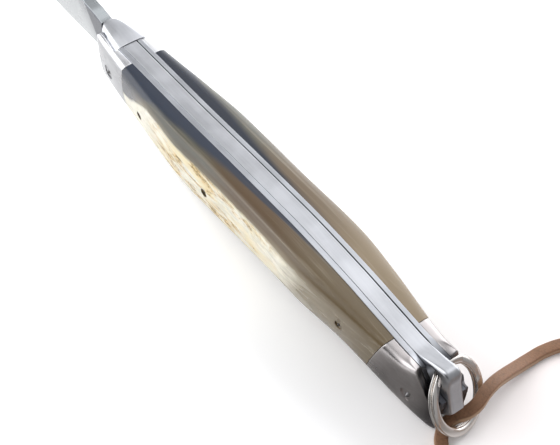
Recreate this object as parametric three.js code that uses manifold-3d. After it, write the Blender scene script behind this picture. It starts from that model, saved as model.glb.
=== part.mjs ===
// A folding pocket knife with horn scales, steel bolsters and a lanyard ring, blade open.
// Millimetres. +X runs from the butt to the blade's tip, +Y to the left, +Z from the belly to the back.
import * as THREE from 'three';
import { mergeVertices } from 'three/addons/utils/BufferGeometryUtils.js';
import Module from 'manifold-3d';

const wasm = await Module();
wasm.setup();

// Handle: its curves are places along it, as shares of its length, with a size in mm at each
const handleLength = 120;
const backCurve = [[0, -0.75], [0.035, -1.9], [0.075, -2.9], [0.14, -2.1], [0.24, -0.7], [0.4, 0.4],
  [0.55, 0.3], [0.72, -0.1], [0.92, 0], [1, -0.6]];
const bellyCurve = [[0, 17.7], [0.03, 17.9], [0.1, 16.9], [0.2, 15.2], [0.33, 15.5], [0.48, 16.6],
  [0.64, 17.2], [0.77, 16.2], [0.88, 14.6], [1, 13.2]];
const widthCurve = [[0, 3.7], [0.01, 4.5], [0.05, 5.5], [0.12, 6.5], [0.21, 7.8], [0.31, 8.8],
  [0.46, 8.5], [0.65, 8.8], [0.76, 7.8], [0.84, 6.7], [0.92, 5.6], [0.985, 4.3], [1, 3.6]];
const shoulderDrop = 0.15;   // the sides start this far below the back
const widestShare = 0.36;    // how far down its height a side is widest
const shoulderPower = 4.2;   // the shoulder is boxy
const bellyPower = 2.3;      // the lower side is nearly elliptical
const seamGap = 0.05;        // hairline where horn meets steel

// Liners, spring and the slot between them
const springWidth = 3.5;
const gapLeft = 0.1;         // spring to left liner
const gapRight = 0.24;       // spring to right liner, the wider line seen from above
const linerThickness = 1;
const springSwell = 0.35;    // how much it thickens from the head to its middle, and from there to the tail
const tailReach = 11;        // length of the deep tail that fills the butt
const tailSlope = 16;        // from the tail's front to where only the bar is left
const runningGap = 0.1;      // between moving and fixed faces
const pinFit = 0.08;         // radial room of every pin

// Bolsters
const frontBolsterLength = 14.7;
const rearBolsterLength = 13.2;
const rearSeamSlope = 0.38;  // the rear seam leans forward towards the belly
const noseRound = 2.6;
const buttReach = 1.2;       // how far the butt's end stands behind the start of the curves
const buttLow = 2.4;         // where the belly's curve begins
// The butt's lower end, as x and height above the belly; the tail's end face slopes up from its last point
const bolsterButt = [[1, 0.15], [-0.4, 0.9], [-0.8, 2.4], [-0.9, 4.6], [-1.2, 8.4]];
const linerButt = [[1.6, 0.35], [0.8, 2.2], [-0.5, 4.4], [-1.2, 8.4]];
const tailButt = [[1.6, 0.35], [0.8, 2.2], [-0.5, 4.4], [-2.2, 5.8], [-2.9, 7.2]];

// Spring head, a plain wedge that covers the tang
const headLength = 9.8;
const headOverhang = 1;      // past the bolsters' nose
const headHalfWidth = 4.14;
const headNoseHalfWidth = 1.35;
const headRise = 0.55;
const headFlank = 1.15;      // height of the sloping flank
const wingDepth = 2.3;       // the wings' underside, below the back
const wingGap = 0.3;         // the dark gap behind and beside the wings
const seamDepth = 0.15;

// Blade
const pivotSetback = 6.6;    // from the bolsters' nose
const pivotDepth = 7.6;      // below the back
const tangRadius = 4.6;
const tangThickness = 3.1;
const tangRelief = 0.1;      // inside the handle the tang is this much thinner on each side
const bladeLength = 100;     // pivot to tip
const bladeDepth = 11.2;     // straight part of the edge, below the back
const spineCurve = [[0.076, 0.45], [0.18, 1.2], [0.34, 1.9], [0.5, 2], [0.66, 1.3], [0.82, -0.9],
  [1, -5.4]];
const edgeCurve = [[0, 0], [0.55, 0], [0.7, 0.5], [0.82, 1.7], [0.92, 3.6], [1, 5.4]];
const spineTaper = 0.35;     // share of the thickness left at the tip
const spineBevel = 0.3;
const edgeFlat = 0.12;
const plungeTop = 14.9;      // where the ground face starts at the spine, from the pivot
const plungeLean = 0.63;
const plungeWidth = 1.2;
const nickAt = 29.5;         // nail nick, from the pivot
const nickDrop = 5.2;        // its middle, below the spine
const nickCutterRadius = 26;
const nickDepth = 0.55;
const nickHeight = 2.2;

// Pins: the scale's and spring's stand off the seams, with their depth below the back
const bolsterPinRadius = 1.35;
const headProud = 0.35;
const rearPin = { x: 5.9, z: -11.2 };
const springPinRadius = 0.7;
const springPinSetback = 43.3;
const scalePinRadius = 0.8;
const scalePinProud = 0.12;
const frontPinSetback = 7.8;
const middlePinSetback = 35.9;
const rearPinSetback = 11.4;
const scalePinDepths = { front: 8, middle: 7.9, rear: 7.3 };

// Lanyard ring in its hole, leaning back and turned a little to the right
const ringHole = { x: 3.1, z: -4.95 };
const ringGap = 0.35;        // room all round the wire
const ringRadius = 7;
const wireRadius = 0.95;
const ringLean = THREE.MathUtils.degToRad(32);
const ringYaw = THREE.MathUtils.degToRad(16.9);
const ringSlide = THREE.MathUtils.degToRad(-19);
const ringSwing = THREE.MathUtils.degToRad(150);
const ringRoomArc = 1.5;     // the part of the ring, in radians each way, that passes the dished mouths
const ringRoomWidth = 3.2;   // how far past the liners the mouths follow the wire
const openCorner = [[-8, 5], [3.7, 5], [3.7, -3.6], [2.6, -6.2], [0.4, -7.6], [-8, -8.8]];
const dipStart = 9.4;        // where the inner edges of liners and bolsters begin to fall away to the ring
const dipDepth = 2.5;
const dipWidth = 2.3;
const ringSplitAt = THREE.MathUtils.degToRad(-44);
const ringSplit = THREE.MathUtils.degToRad(7);

// Leather thong: one flat lace through the ring, both ends in a knot behind the butt
const laceWidth = 2.6;
const laceThickness = 1.6;
const laceSteps = 62;
const knotRadius = 3.1;
const knotLength = 9;
const knotGap = 0.5;         // from the lace's ends to the knot's face
const tailLength = 12;
const ground = -Math.max(...bellyCurve.map(([, depth]) => depth));
const lift = 0.05;           // keeps the lace just off the surface under it
const laid = ground + laceThickness / 2 + lift;
const laceRoute = [
  [-67, -8.7, laid + 1.5], [-62.5, -8, laid + 1], [-56, -4.8, laid + 0.2], [-49, -0.8, laid],
  [-40, 3.4, laid], [-28, 7.8, laid], [-18, 10.3, laid], [-11, 10.2, laid], [-7.45, 7.9, laid],
  [-5.2, 5.3, laid], [-2.7, 3.4, laid + 0.1], [-1.35, 1.3, laid + 0.8], [-1.55, -0.8, laid + 1.9],
  [-2.6, -2.9, laid + 2.9], [-2.8, -5.1, laid + 3.9], [-1.9, -8, laid + 4.4],
  [-1.1, -11, laid + 4.1], [-0.4, -14.5, laid + 2.9], [0.2, -18.5, laid + 1.4], [0.6, -22.5, laid + 0.3],
  [0.5, -26.5, laid], [-1, -31.4, laid], [-5.6, -35.5, laid], [-12.5, -37, laid], [-21, -35.6, laid],
  [-33, -30.2, laid], [-46, -23, laid], [-56, -16.6, laid + 0.2], [-62.5, -12.9, laid + 1],
  [-67, -12.2, laid + 1.5],
];

// Sizes that follow
const slotLeft = springWidth / 2 + gapLeft;
const slotRight = springWidth / 2 + gapRight;
const inner = Math.max(slotLeft, slotRight) + linerThickness;
const noseX = handleLength;
const headRear = noseX + headOverhang - headLength;
const headFront = noseX + headOverhang;
const pivot = { x: noseX - pivotSetback, z: -pivotDepth };
const tip = pivot.x + bladeLength;
const headUnder = pivot.z + tangRadius + runningGap;
const rearSeam = rearBolsterLength;
const frontSeam = noseX - frontBolsterLength;
const springPin = { x: frontSeam - springPinSetback, radius: springPinRadius };
const scalePins = [['front', frontSeam - frontPinSetback, -scalePinDepths.front],
  ['middle', frontSeam - middlePinSetback, -scalePinDepths.middle],
  ['rear', rearSeam + rearPinSetback, -scalePinDepths.rear]];
const round = 24;

function spread(from, to, steps) {
  return Array.from({ length: steps + 1 }, (_, i) => from + (to - from) * (i / steps));
}

// The ring turns about the hole's own line, its wire a little askew to it
const ringTurn = new THREE.Matrix4().makeRotationY(ringLean)
  .multiply(new THREE.Matrix4().makeRotationZ(ringYaw))
  .multiply(new THREE.Matrix4().makeRotationX(ringSlide));
const ringAxis = new THREE.Vector3(0, 1, 0);

// The room that the wire needs as the ring turns, in the section at y, or nothing where no wire comes
function ringRoom(y) {
  const wires = [];
  for (const swing of spread(0, ringSwing, 15)) {
    const turn = new THREE.Matrix4().makeRotationAxis(ringAxis, swing).multiply(ringTurn);
    for (const t of spread(-ringRoomArc, ringRoomArc, 60)) {
      const p = new THREE.Vector3(0, ringRadius * Math.sin(t), ringRadius * (Math.cos(t) - 1));
      p.applyMatrix4(turn);
      const aside = Math.abs(p.y - y);
      if (aside < wireRadius) {
        const half = Math.sqrt(wireRadius ** 2 - aside ** 2);
        wires.push({ x: ringHole.x + p.x, z: ringHole.z + p.z, r: half + ringGap });
      }
    }
  }
  return !wires.length ? wires : spread(0, 2 * Math.PI, 32).slice(1).map((t) => {
    const [u, v] = [Math.cos(t), Math.sin(t)];
    const far = wires.reduce((a, b) => (b.x * u + b.z * v + b.r > a.x * u + a.z * v + a.r ? b : a));
    return new THREE.Vector3(far.x + far.r * u, y, far.z + far.r * v);
  });
}

// Smooth curve through [share, value] points that doesn't overshoot them
function curve(points, length = 1, start = 0) {
  const xs = points.map(([share]) => start + share * length);
  const ys = points.map(([, value]) => value);
  const slope = xs.slice(1).map((x, i) => (ys[i + 1] - ys[i]) / (x - xs[i]));
  const tangent = xs.map((x, i) => {
    if (i === 0) return slope[0];
    if (i === xs.length - 1) return slope[i - 1];
    return slope[i - 1] * slope[i] <= 0 ? 0 : 2 / (1 / slope[i - 1] + 1 / slope[i]);
  });
  return (x) => {
    if (x <= xs[0]) return ys[0];
    if (x >= xs[xs.length - 1]) return ys[ys.length - 1];
    const i = xs.findIndex((_, k) => x < xs[k + 1]);
    const h = xs[i + 1] - xs[i];
    const t = (x - xs[i]) / h;
    return ys[i] * (1 + 2 * t) * (1 - t) ** 2 + tangent[i] * h * t * (1 - t) ** 2
      + ys[i + 1] * t * t * (3 - 2 * t) - tangent[i + 1] * h * t * t * (1 - t);
  };
}

const back = curve(backCurve, handleLength);
const bellyDepth = curve(bellyCurve, handleLength);
const belly = (x) => -bellyDepth(x);
const halfWidth = curve(widthCurve, handleLength);

// Geometry helpers
function outward(geometry) {
  const p = geometry.attributes.position;
  const index = geometry.index.array;
  const [a, b, c] = [new THREE.Vector3(), new THREE.Vector3(), new THREE.Vector3()];
  let volume = 0;
  for (let i = 0; i < index.length; i += 3) {
    a.fromBufferAttribute(p, index[i]);
    b.fromBufferAttribute(p, index[i + 1]);
    c.fromBufferAttribute(p, index[i + 2]);
    volume += a.dot(b.cross(c));
  }
  if (volume < 0) {
    for (let i = 0; i < index.length; i += 3) [index[i], index[i + 1]] = [index[i + 1], index[i]];
  }
  geometry.computeVertexNormals();
  return geometry;
}

function loft(rings) {
  const count = rings[0].length;
  const points = rings.flat();
  const faces = [];
  for (let r = 0; r + 1 < rings.length; r += 1) {
    for (let k = 0; k < count; k += 1) {
      const [a, b] = [r * count + k, r * count + (k + 1) % count];
      faces.push(a, b, b + count, a, b + count, a + count);
    }
  }
  for (const [first, flip] of [[0, true], [(rings.length - 1) * count, false]]) {
    const flat = rings[first / count];
    const planes = [['x', 'y'], ['y', 'z'], ['x', 'z']]
      .map(([u, v]) => flat.map((p) => new THREE.Vector2(p[u], p[v])));
    const size = (plane) => Math.abs(THREE.ShapeUtils.area(plane));
    const outline = planes.sort((a, b) => size(b) - size(a))[0];
    const turn = THREE.ShapeUtils.isClockWise(outline);
    const ordered = turn ? outline.slice().reverse() : outline;
    for (const [i, j, k] of THREE.ShapeUtils.triangulateShape(ordered, [])) {
      const at = [i, j, k].map((n) => first + (turn ? count - 1 - n : n));
      faces.push(...(flip !== turn ? [at[0], at[2], at[1]] : at));
    }
  }
  const geometry = new THREE.BufferGeometry().setFromPoints(points);
  geometry.setIndex(faces);
  return outward(geometry);
}

function solid(geometry) {
  const plain = geometry.clone();
  plain.deleteAttribute('normal');
  plain.deleteAttribute('uv');
  const merged = mergeVertices(plain, 1e-5);
  return new wasm.Manifold(new wasm.Mesh({
    numProp: 3,
    vertProperties: new Float32Array(merged.attributes.position.array),
    triVerts: new Uint32Array(merged.index.array),
  }));
}

function shaped(body) {
  const mesh = body.getMesh();
  const geometry = new THREE.BufferGeometry();
  geometry.setAttribute('position', new THREE.BufferAttribute(mesh.vertProperties, 3));
  geometry.setIndex(new THREE.BufferAttribute(mesh.triVerts, 1));
  geometry.computeVertexNormals();
  return geometry;
}

// What is left of a piece after its cuts, without slivers that come loose
function cut(geometry, tools) {
  const left = tools.reduce((body, tool) => body.subtract(solid(tool)), solid(geometry));
  const pieces = left.decompose().sort((a, b) => b.volume() - a.volume());
  return shaped(pieces[0]);
}

function mirrored(geometry) {
  const copy = geometry.clone();
  copy.scale(1, -1, 1);
  return outward(copy);
}

// A plate of the outline (x, z), from y = low to y = high
function plate(outline, low, high) {
  const shape = new THREE.Shape(outline.map(([x, z]) => new THREE.Vector2(x, z)));
  const geometry = new THREE.ExtrudeGeometry(shape, { depth: high - low, bevelEnabled: false });
  return geometry.rotateX(Math.PI / 2).translate(0, high, 0);
}

function turned(profile, x, z, segments = round) {
  return new THREE.LatheGeometry(profile.map(([r, y]) => new THREE.Vector2(r, y)), segments)
    .translate(x, 0, z);
}

const reach = 3 * halfWidth(handleLength / 2);
const drill = (x, z, radius) => turned([[0, -reach], [radius, -reach], [radius, reach], [0, reach]], x, z);

// One side of the handle: a flat inner face and a full outer curve
function sideOutline(x, samples = 7) {
  const top = back(x) - shoulderDrop;
  const low = belly(x);
  const middle = top - widestShare * (top - low);
  const width = halfWidth(x) - inner;
  const points = [];
  for (const t of spread(Math.PI / 2, 0, samples)) {
    points.push([inner + width * Math.cos(t) ** (2 / shoulderPower),
      middle + (top - middle) * Math.sin(t) ** (2 / shoulderPower)]);
  }
  for (const t of spread(0, Math.PI / 2, samples + 1).slice(1)) {
    points.push([inner + width * Math.cos(t) ** (2 / bellyPower),
      middle + (low - middle) * Math.sin(t) ** (2 / bellyPower)]);
  }
  points[0][0] = inner;
  points[points.length - 1][0] = inner;
  return points;
}

// How far out the side's surface is at a place
function surface(x, z) {
  const top = back(x) - shoulderDrop;
  const low = belly(x);
  const middle = top - widestShare * (top - low);
  const [share, power] = z > middle
    ? [(z - middle) / (top - middle), shoulderPower] : [(middle - z) / (middle - low), bellyPower];
  return inner + (halfWidth(x) - inner) * (1 - share ** power) ** (1 / power);
}

function side(stations, leanAt = () => 0) {
  return loft(stations.map((x) => sideOutline(x).map(([y, z]) => (
    new THREE.Vector3(x - leanAt(x) * (z - back(x)), y, z)))));
}

// The butt's end, from the belly to the back
const buttEnd = (foot) => [...foot.map(([x, up]) => [x, belly(0) + up]),
  [-buttReach, -4.5], [-0.9 * buttReach, -2.2], [-0.5 * buttReach, back(0) - 0.25]];

// The handle's outline from the side, with a rounded nose and butt
function handleOutline(foot) {
  const top = spread(0.2, noseX - noseRound / 2, 40).map((x) => [x, back(x)]);
  const low = spread(noseX - noseRound, buttLow, 40).map((x) => [x, belly(x)]);
  const nose = [[noseX - 0.2, back(noseX) - 0.8], [noseX + 0.1, -4], [noseX + 0.1, -7.5],
    [noseX - 0.5, -10.2], [noseX - 1.3, -11.8]];
  return [...top, ...nose, ...low, ...buttEnd(foot)];
}

const seamLean = curve([[0, rearSeamSlope], [0.5, 0], [1, 0]], frontSeam - rearSeam, rearSeam);

// The head in plan, grown by a gap for the notch that it sits in
const headShape = curve([[0, headHalfWidth], [0.45, 0.78 * headHalfWidth],
  [0.85, 0.55 * headHalfWidth], [1, headNoseHalfWidth]], headLength, headRear);
const notch = loft([-wingDepth - 0.05, 4].map((z) => {
  const stations = spread(headRear, headFront + 2, 10);
  const edge = stations.map((x) => [x, headShape(x) + wingGap / 2]);
  edge.unshift([headRear - wingGap, headHalfWidth + wingGap / 2]);
  return [...edge, ...edge.slice().reverse().map(([x, y]) => [x, -y])]
    .map(([x, y]) => new THREE.Vector3(x, y, z));
}));

// Dished mouths that leave the ring room beside the spring's tail
const outs = [springWidth / 2, ...spread(inner, inner + ringRoomWidth, 4)];
const mouths = (way) => {
  const rooms = outs.map((out) => ringRoom(way * out)).filter((room) => room.length);
  return [...rooms, rooms[rooms.length - 1].map((p) => p.clone().setY(way * reach))];
};
const scoop = loft([...mouths(-1).reverse(), ...mouths(1)]);
const holeRadius = Math.max(...[-1, 1].flatMap((way) => ringRoom(way * springWidth / 2))
  .map((p) => Math.hypot(p.x - ringHole.x, p.z - ringHole.z)));

// Above and behind the ring the sides are cut away, and their inner edges fall towards it
const corner = plate(openCorner, springWidth / 2 - 1, reach);
const dip = loft(spread(dipStart, 2, 8).map((x) => {
  const [top, deep] = [back(x), dipDepth * ((dipStart - x) / (dipStart - openCorner[1][0])) ** 1.4];
  return [[springWidth / 2 - 1, top - deep - 0.3], [springWidth / 2, top - deep],
    [inner + dipWidth, top + 0.05], [inner + dipWidth, top + 2], [springWidth / 2 - 1, top + 2]]
    .map(([y, z]) => new THREE.Vector3(x, y, z));
}));

// Steel and horn of the left side; the right side mirrors it
const boundary = plate(handleOutline(bolsterButt), 0, reach);
const pinHoles = [drill(pivot.x, pivot.z, bolsterPinRadius + pinFit),
  drill(rearPin.x, rearPin.z, bolsterPinRadius + pinFit)];

function rearBolster(mouth) {
  const stations = [-buttReach - 0.4, -0.8 * buttReach, 0, 1.2, 2.5, 4.5, 7, 10, rearSeam];
  const lean = curve([[0, 0], [1, rearSeamSlope]], rearSeam);
  const body = side(stations, lean).translate(-seamGap, 0, 0);
  return cut(shaped(solid(body).intersect(solid(boundary))), [mouth, corner, dip, pinHoles[1]]);
}

function frontBolster() {
  const stations = [frontSeam, ...spread(frontSeam + 3, noseX - 1.5, 5), noseX - 0.7, noseX + 0.3];
  const body = side(stations).translate(seamGap, 0, 0);
  return cut(shaped(solid(body).intersect(solid(boundary))), [notch, pinHoles[0]]);
}

function scale() {
  const body = side([...spread(rearSeam, frontSeam, 25)], seamLean);
  return cut(body, scalePins.map(([, x, z]) => drill(x, z, scalePinRadius + pinFit)));
}

function liner(slot, mouth) {
  const pins = scalePins.map(([, x, z]) => drill(x, z, scalePinRadius + pinFit));
  const middle = drill(springPin.x, springMiddle(springPin.x), springPin.radius + pinFit);
  return cut(plate(handleOutline(linerButt), slot, inner),
    [notch, mouth, corner, dip, ...pinHoles, middle, ...pins]);
}

// Spring: a bar that deepens into the tail at the butt and carries the head at the front
const headThickness = back(headRear) - headUnder;
const barThickness = curve([[0, headThickness + 2 * springSwell], [0.5, headThickness + springSwell],
  [1, headThickness]], headRear);
const springUnder = (x) => (x < headRear ? back(x) - barThickness(x) : headUnder);
const springMiddle = (x) => (back(x) + springUnder(x)) / 2;

function backSpring() {
  const top = spread(0.2, headRear + 1, 36).map((x) => [x, back(x)]);
  const tailLow = spread(buttLow, tailReach + 0.5, 6).map((x) => [x, belly(x)]);
  const under = spread(headFront - 0.4, tailReach + tailSlope, 20).map((x) => [x, springUnder(x)]);
  const rise = tailReach + tailSlope;
  const neck = [[tailReach + 0.45 * tailSlope, springUnder(rise) - 0.5],
    [tailReach + 0.2 * tailSlope, springUnder(rise) - 1.5], [tailReach + 0.05 * tailSlope, -8],
    [tailReach, -10]];
  const bar = plate([...top, [headFront - 0.4, back(headRear)], ...under, ...neck,
    ...tailLow.reverse(), ...buttEnd(tailButt)], -springWidth / 2, springWidth / 2);
  const head = loft(spread(headRear, headFront, 8).map((x, i, all) => {
    const share = i / (all.length - 1);
    const half = headShape(x);
    const crown = back(headRear) + headRise * Math.sin(Math.PI * Math.min(1, 0.15 + 0.75 * share));
    const front = i === all.length - 1 ? 0.35 : 0;
    const edge = crown - 0.25 - front;
    const section = [[half, -wingDepth], [half, edge - headFlank], [half - 0.55 * (1 - 0.5 * share), edge],
      [0.5 * half, crown - front - 0.06], [0, crown - front]];
    const mirror = section.slice(0, -1).reverse().map(([y, z]) => [-y, z]);
    return [...section, ...mirror].map(([y, z]) => new THREE.Vector3(x, y, z));
  }));
  const seam = plate([[headRear - 0.12, 1], [headRear, back(headRear) - seamDepth], [headRear + 0.12, 1]],
    -springWidth, springWidth);
  const holes = [drill(rearPin.x, rearPin.z, bolsterPinRadius + pinFit),
    drill(springPin.x, springMiddle(springPin.x), springPin.radius + pinFit),
    drill(ringHole.x, ringHole.z, holeRadius)];
  return cut(shaped(solid(bar).add(solid(head))), [seam, ...holes]);
}

// Blade: round tang, flat ricasso, then a full flat grind to the tip
function blade() {
  const half = tangThickness / 2;
  const spineAt = curve(spineCurve, bladeLength, pivot.x);
  const rise = curve(edgeCurve, bladeLength, pivot.x);
  const edgeAt = (x) => -bladeDepth + rise(x);
  const thick = curve([[0, half], [0.15, half * 0.86], [1, half * spineTaper]], bladeLength, pivot.x);
  const shoulder = headFront + 2 * runningGap;
  const tang = spread(Math.PI * 0.5, Math.PI * 1.5, 16).map((t) => (
    [pivot.x + tangRadius * Math.cos(t), pivot.z + tangRadius * Math.sin(t)]));
  const plungeX = (z) => pivot.x + plungeTop + plungeLean * (z - spineAt(pivot.x + plungeTop));
  const heel = [[pivot.x + 3.2, pivot.z - tangRadius], [shoulder - 2.5, -bladeDepth - 0.25]];
  const spineEnd = [pivot.x + plungeTop, shoulder + 3, shoulder].map((x) => [x, spineAt(x)]);
  const tangPlate = plate([...tang, ...heel, [plungeX(-bladeDepth), -bladeDepth], ...spineEnd,
    [shoulder, pivot.z + tangRadius]], tangRelief - half, half - tangRelief);
  const plungeFoot = spineEnd[0][1] + (shoulder - spineEnd[0][0]) / plungeLean;
  const ricasso = plate([[shoulder, plungeFoot], ...spineEnd], -half, half);
  const section = (x) => {
    const [top, low] = [spineAt(x), edgeAt(x)];
    const wide = thick(x);
    const bevel = Math.min(spineBevel, wide / 2, (top - low) / 4);
    const down = (share) => THREE.MathUtils.lerp(wide, edgeFlat, share);
    const right = [[wide - bevel, top], [wide, top - bevel], [down(0.35), top - 0.35 * (top - low)],
      [down(0.7), top - 0.7 * (top - low)], [down(1) + 0.12, low + 0.35], [down(1) - 0.07, low]];
    return [...right, ...right.slice().reverse().map(([y, z]) => [-y, z])];
  };
  const lean = curve([[0, plungeLean], [0.25, 0], [1, 0]], bladeLength - plungeTop, pivot.x + plungeTop);
  const stations = [...spread(pivot.x + plungeTop + plungeWidth, tip - 0.25 * bladeLength, 12),
    ...spread(tip - 0.25 * bladeLength, tip - 0.15, 9).slice(1)];
  const slanted = (x, shift = 0) => section(x).map(([y, z]) => (
    new THREE.Vector3(x + shift + lean(x) * (z - spineAt(x)), y, z)));
  const start = section(pivot.x + plungeTop).map(([y, z]) => (
    new THREE.Vector3(plungeX(z) - 0.3, Math.sign(y) * Math.min(half - 0.01, Math.abs(y)), z)));
  const groundPart = loft([start, ...stations.map((x) => slanted(x))]);
  const nickX = pivot.x + nickAt;
  const nickZ = spineAt(nickX) - nickDrop;
  const nickY = THREE.MathUtils.lerp(thick(nickX), edgeFlat, nickDrop / (spineAt(nickX) - edgeAt(nickX)));
  const wheel = [[0, -nickHeight / 2], [nickCutterRadius - nickDepth, -nickHeight / 2],
    [nickCutterRadius, nickHeight / 5], [nickCutterRadius - nickDepth, nickHeight / 2], [0, nickHeight / 2]];
  const cutter = new THREE.LatheGeometry(wheel.map(([r, y]) => new THREE.Vector2(r, y)), 96)
    .rotateX(Math.PI / 2).translate(nickX, nickY + nickCutterRadius - nickDepth, nickZ);
  return cut(shaped(solid(tangPlate).add(solid(ricasso)).add(solid(groundPart))),
    [drill(pivot.x, pivot.z, bolsterPinRadius + pinFit), cutter]);
}

// A pin through both bolsters, with low domed heads
function bolsterPin({ x, z }) {
  const out = surface(x, z) + headProud;
  const dome = [[0, out], [0.5 * bolsterPinRadius, out - 0.06], [0.85 * bolsterPinRadius, out - 0.2],
    [bolsterPinRadius, out - 0.45]];
  return turned([...dome.map(([r, y]) => [r, -y]), ...dome.reverse()], x, z);
}

function scalePin(x, z) {
  const out = surface(x, z) + scalePinProud;
  return turned([[0, slotRight], [scalePinRadius, slotRight], [scalePinRadius, out - 0.1],
    [0.7 * scalePinRadius, out], [0, out]], x, z, 16);
}

// The split ring hangs from the hole; its own frame has the hole at the origin
class RingArc extends THREE.Curve {
  getPoint(t, target = new THREE.Vector3()) {
    const angle = ringSplitAt + ringSplit / 2 + t * (2 * Math.PI - ringSplit);
    return target.set(0, ringRadius * Math.sin(angle), ringRadius * (Math.cos(angle) - 1));
  }
}

function lanyardRing() {
  const wire = new THREE.Shape().absarc(0, 0, wireRadius, 0, 2 * Math.PI);
  const geometry = new THREE.ExtrudeGeometry(wire, {
    steps: 60, curveSegments: 5, extrudePath: new RingArc(),
  });
  return geometry.applyMatrix4(ringTurn).translate(ringHole.x, 0, ringHole.z);
}

// Lace: a flat section kept level along the route
class LevelRoute extends THREE.CatmullRomCurve3 {
  computeFrenetFrames(segments) {
    const frames = { tangents: [], normals: [], binormals: [] };
    for (let i = 0; i <= segments; i += 1) {
      const tangent = this.getTangentAt(i / segments);
      const across = new THREE.Vector3(0, 0, 1).cross(tangent).normalize();
      frames.tangents.push(tangent);
      frames.normals.push(across);
      frames.binormals.push(tangent.clone().cross(across));
    }
    return frames;
  }
}

const route = new LevelRoute(laceRoute.map((p) => new THREE.Vector3(...p)), false, 'centripetal');
route.arcLengthDivisions = 800;
const laceSection = new THREE.Shape([[0.5, 0.25], [0.36, 0.5], [-0.36, 0.5], [-0.5, 0.25],
  [-0.5, -0.25], [-0.36, -0.5], [0.36, -0.5], [0.5, -0.25]]
  .map(([a, b]) => new THREE.Vector2(a * laceWidth, b * laceThickness)));

function thong() {
  return new THREE.ExtrudeGeometry(laceSection, { steps: laceSteps, extrudePath: route });
}

// Knot: a plump wrapped body with both cut ends of the lace behind it
function knot() {
  const ends = [laceRoute[0], laceRoute[laceRoute.length - 1]].map((p) => new THREE.Vector3(...p));
  const heading = ends.map((p, i) => route.getTangentAt(i).multiplyScalar(i === 0 ? -1 : 1));
  const along = heading[0].clone().add(heading[1]).setZ(0).normalize();
  const mouth = ends[0].clone().add(ends[1]).multiplyScalar(0.5);
  const profile = [[0, 0], [0.7, 0.02], [0.95, 0.12], [1, 0.27], [0.86, 0.4], [1, 0.55], [0.95, 0.75],
    [0.72, 0.95], [0, 1]].map(([r, y]) => new THREE.Vector2(r * knotRadius, y * knotLength));
  const body = new THREE.LatheGeometry(profile, 20).scale(1.12, 1, 0.86).rotateX(Math.PI / 2);
  const turn = new THREE.Matrix4().makeBasis(
    new THREE.Vector3(0, 0, 1).cross(along), new THREE.Vector3(0, 0, 1), along,
  );
  const height = ground + 0.86 * knotRadius + lift;
  body.applyMatrix4(turn);
  const place = mouth.clone().setZ(height).addScaledVector(along, knotGap);
  body.translate(...place.toArray());
  const tails = [-1, 1].map((way) => {
    const from = place.clone().addScaledVector(along, 0.7 * knotLength);
    const sideways = new THREE.Vector3(0, 0, 1).cross(along).multiplyScalar(way);
    const points = [0, 0.5, 1].map((t) => from.clone().addScaledVector(along, t * (tailLength + 2 * way))
      .addScaledVector(sideways, laceWidth * (0.62 + 0.5 * t * t)).setZ(laid + (1 - t) ** 2 * 0.8));
    return new THREE.ExtrudeGeometry(laceSection, { steps: 4, extrudePath: new LevelRoute(points) });
  });
  return shaped(tails.reduce((all, tail) => all.add(solid(tail)), solid(body)));
}

// Materials, from the photograph
const finish = (color, roughness, metalness) => () => (
  new THREE.MeshStandardMaterial({ color, roughness, metalness }));
const steel = finish(0xb9bcc4, 0.32, 1);
const bladeSteel = finish(0xc6c9cc, 0.22, 1);
const horn = finish(0x6d6252, 0.35, 0);
const nickel = finish(0xd6d2ca, 0.15, 1);
const leather = finish(0x7d5837, 0.75, 0);

const knife = new THREE.Group();
const corded = new THREE.Group();

function place(name, geometry, material, group = knife) {
  const mesh = new THREE.Mesh(geometry, material());
  mesh.name = name;
  group.add(mesh);
}

place('blade', blade(), bladeSteel);
place('back_spring', backSpring(), steel);
place('left_liner', liner(slotLeft, scoop), steel);
place('right_liner', mirrored(liner(slotRight, mirrored(scoop))), steel);
place('left_front_bolster', frontBolster(), steel);
place('right_front_bolster', mirrored(frontBolster()), steel);
place('left_rear_bolster', rearBolster(scoop), steel);
place('right_rear_bolster', mirrored(rearBolster(mirrored(scoop))), steel);
place('left_scale', scale(), horn);
place('right_scale', mirrored(scale()), horn);
place('pivot_pin', bolsterPin(pivot), steel);
place('rear_pin', bolsterPin(rearPin), steel);
place('spring_pin', turned([[0, -inner], [springPin.radius, -inner], [springPin.radius, inner],
  [0, inner]], springPin.x, springMiddle(springPin.x), 16), steel);
for (const [where, x, z] of scalePins) {
  place(`left_scale_pin_${where}`, scalePin(x, z), steel);
  place(`right_scale_pin_${where}`, mirrored(scalePin(x, z)), steel);
}
place('lanyard_ring', lanyardRing(), nickel);
place('thong', thong(), leather, corded);
place('thong_knot', knot(), leather, corded);

// The origin is under the middle of the knife, on the surface that it stands on
const box = new THREE.Box3().setFromObject(knife);
const model = new THREE.Group();
model.add(knife, corded);
model.position.set(-(box.min.x + box.max.x) / 2, -(box.min.y + box.max.y) / 2, -box.min.z);

const origin = model.position.toArray().map((v) => (-v).toFixed(4));
console.log('origin in the handle frame, mm:', origin.join(', '));
console.log('pivot', (pivot.x + model.position.x).toFixed(3), (pivot.z + model.position.z).toFixed(3),
  'ring hole', (ringHole.x + model.position.x).toFixed(3), (ringHole.z + model.position.z).toFixed(3),
  'ring axis', ringAxis.toArray().map((v) => v.toFixed(5)).join(', '),
  'thong length', route.getLength().toFixed(1));

export default model;
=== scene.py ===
"""Folding pocket knife with horn scales, steel bolsters and a lanyard ring: looks and lighting.

Shapes are worked out in the handle's own frame, in millimetres: x forward from the butt, y to the left,
z up from the spring's level at the head. HandleFrame turns them into the row's frame, in metres.
"""

import logging
import math
from dataclasses import dataclass, field, replace
from enum import Enum
from functools import cache, cached_property
from typing import Callable, Iterable, Sequence

import bmesh
import bpy
from mathutils import Matrix, Vector
from mathutils import noise as mnoise

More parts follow.
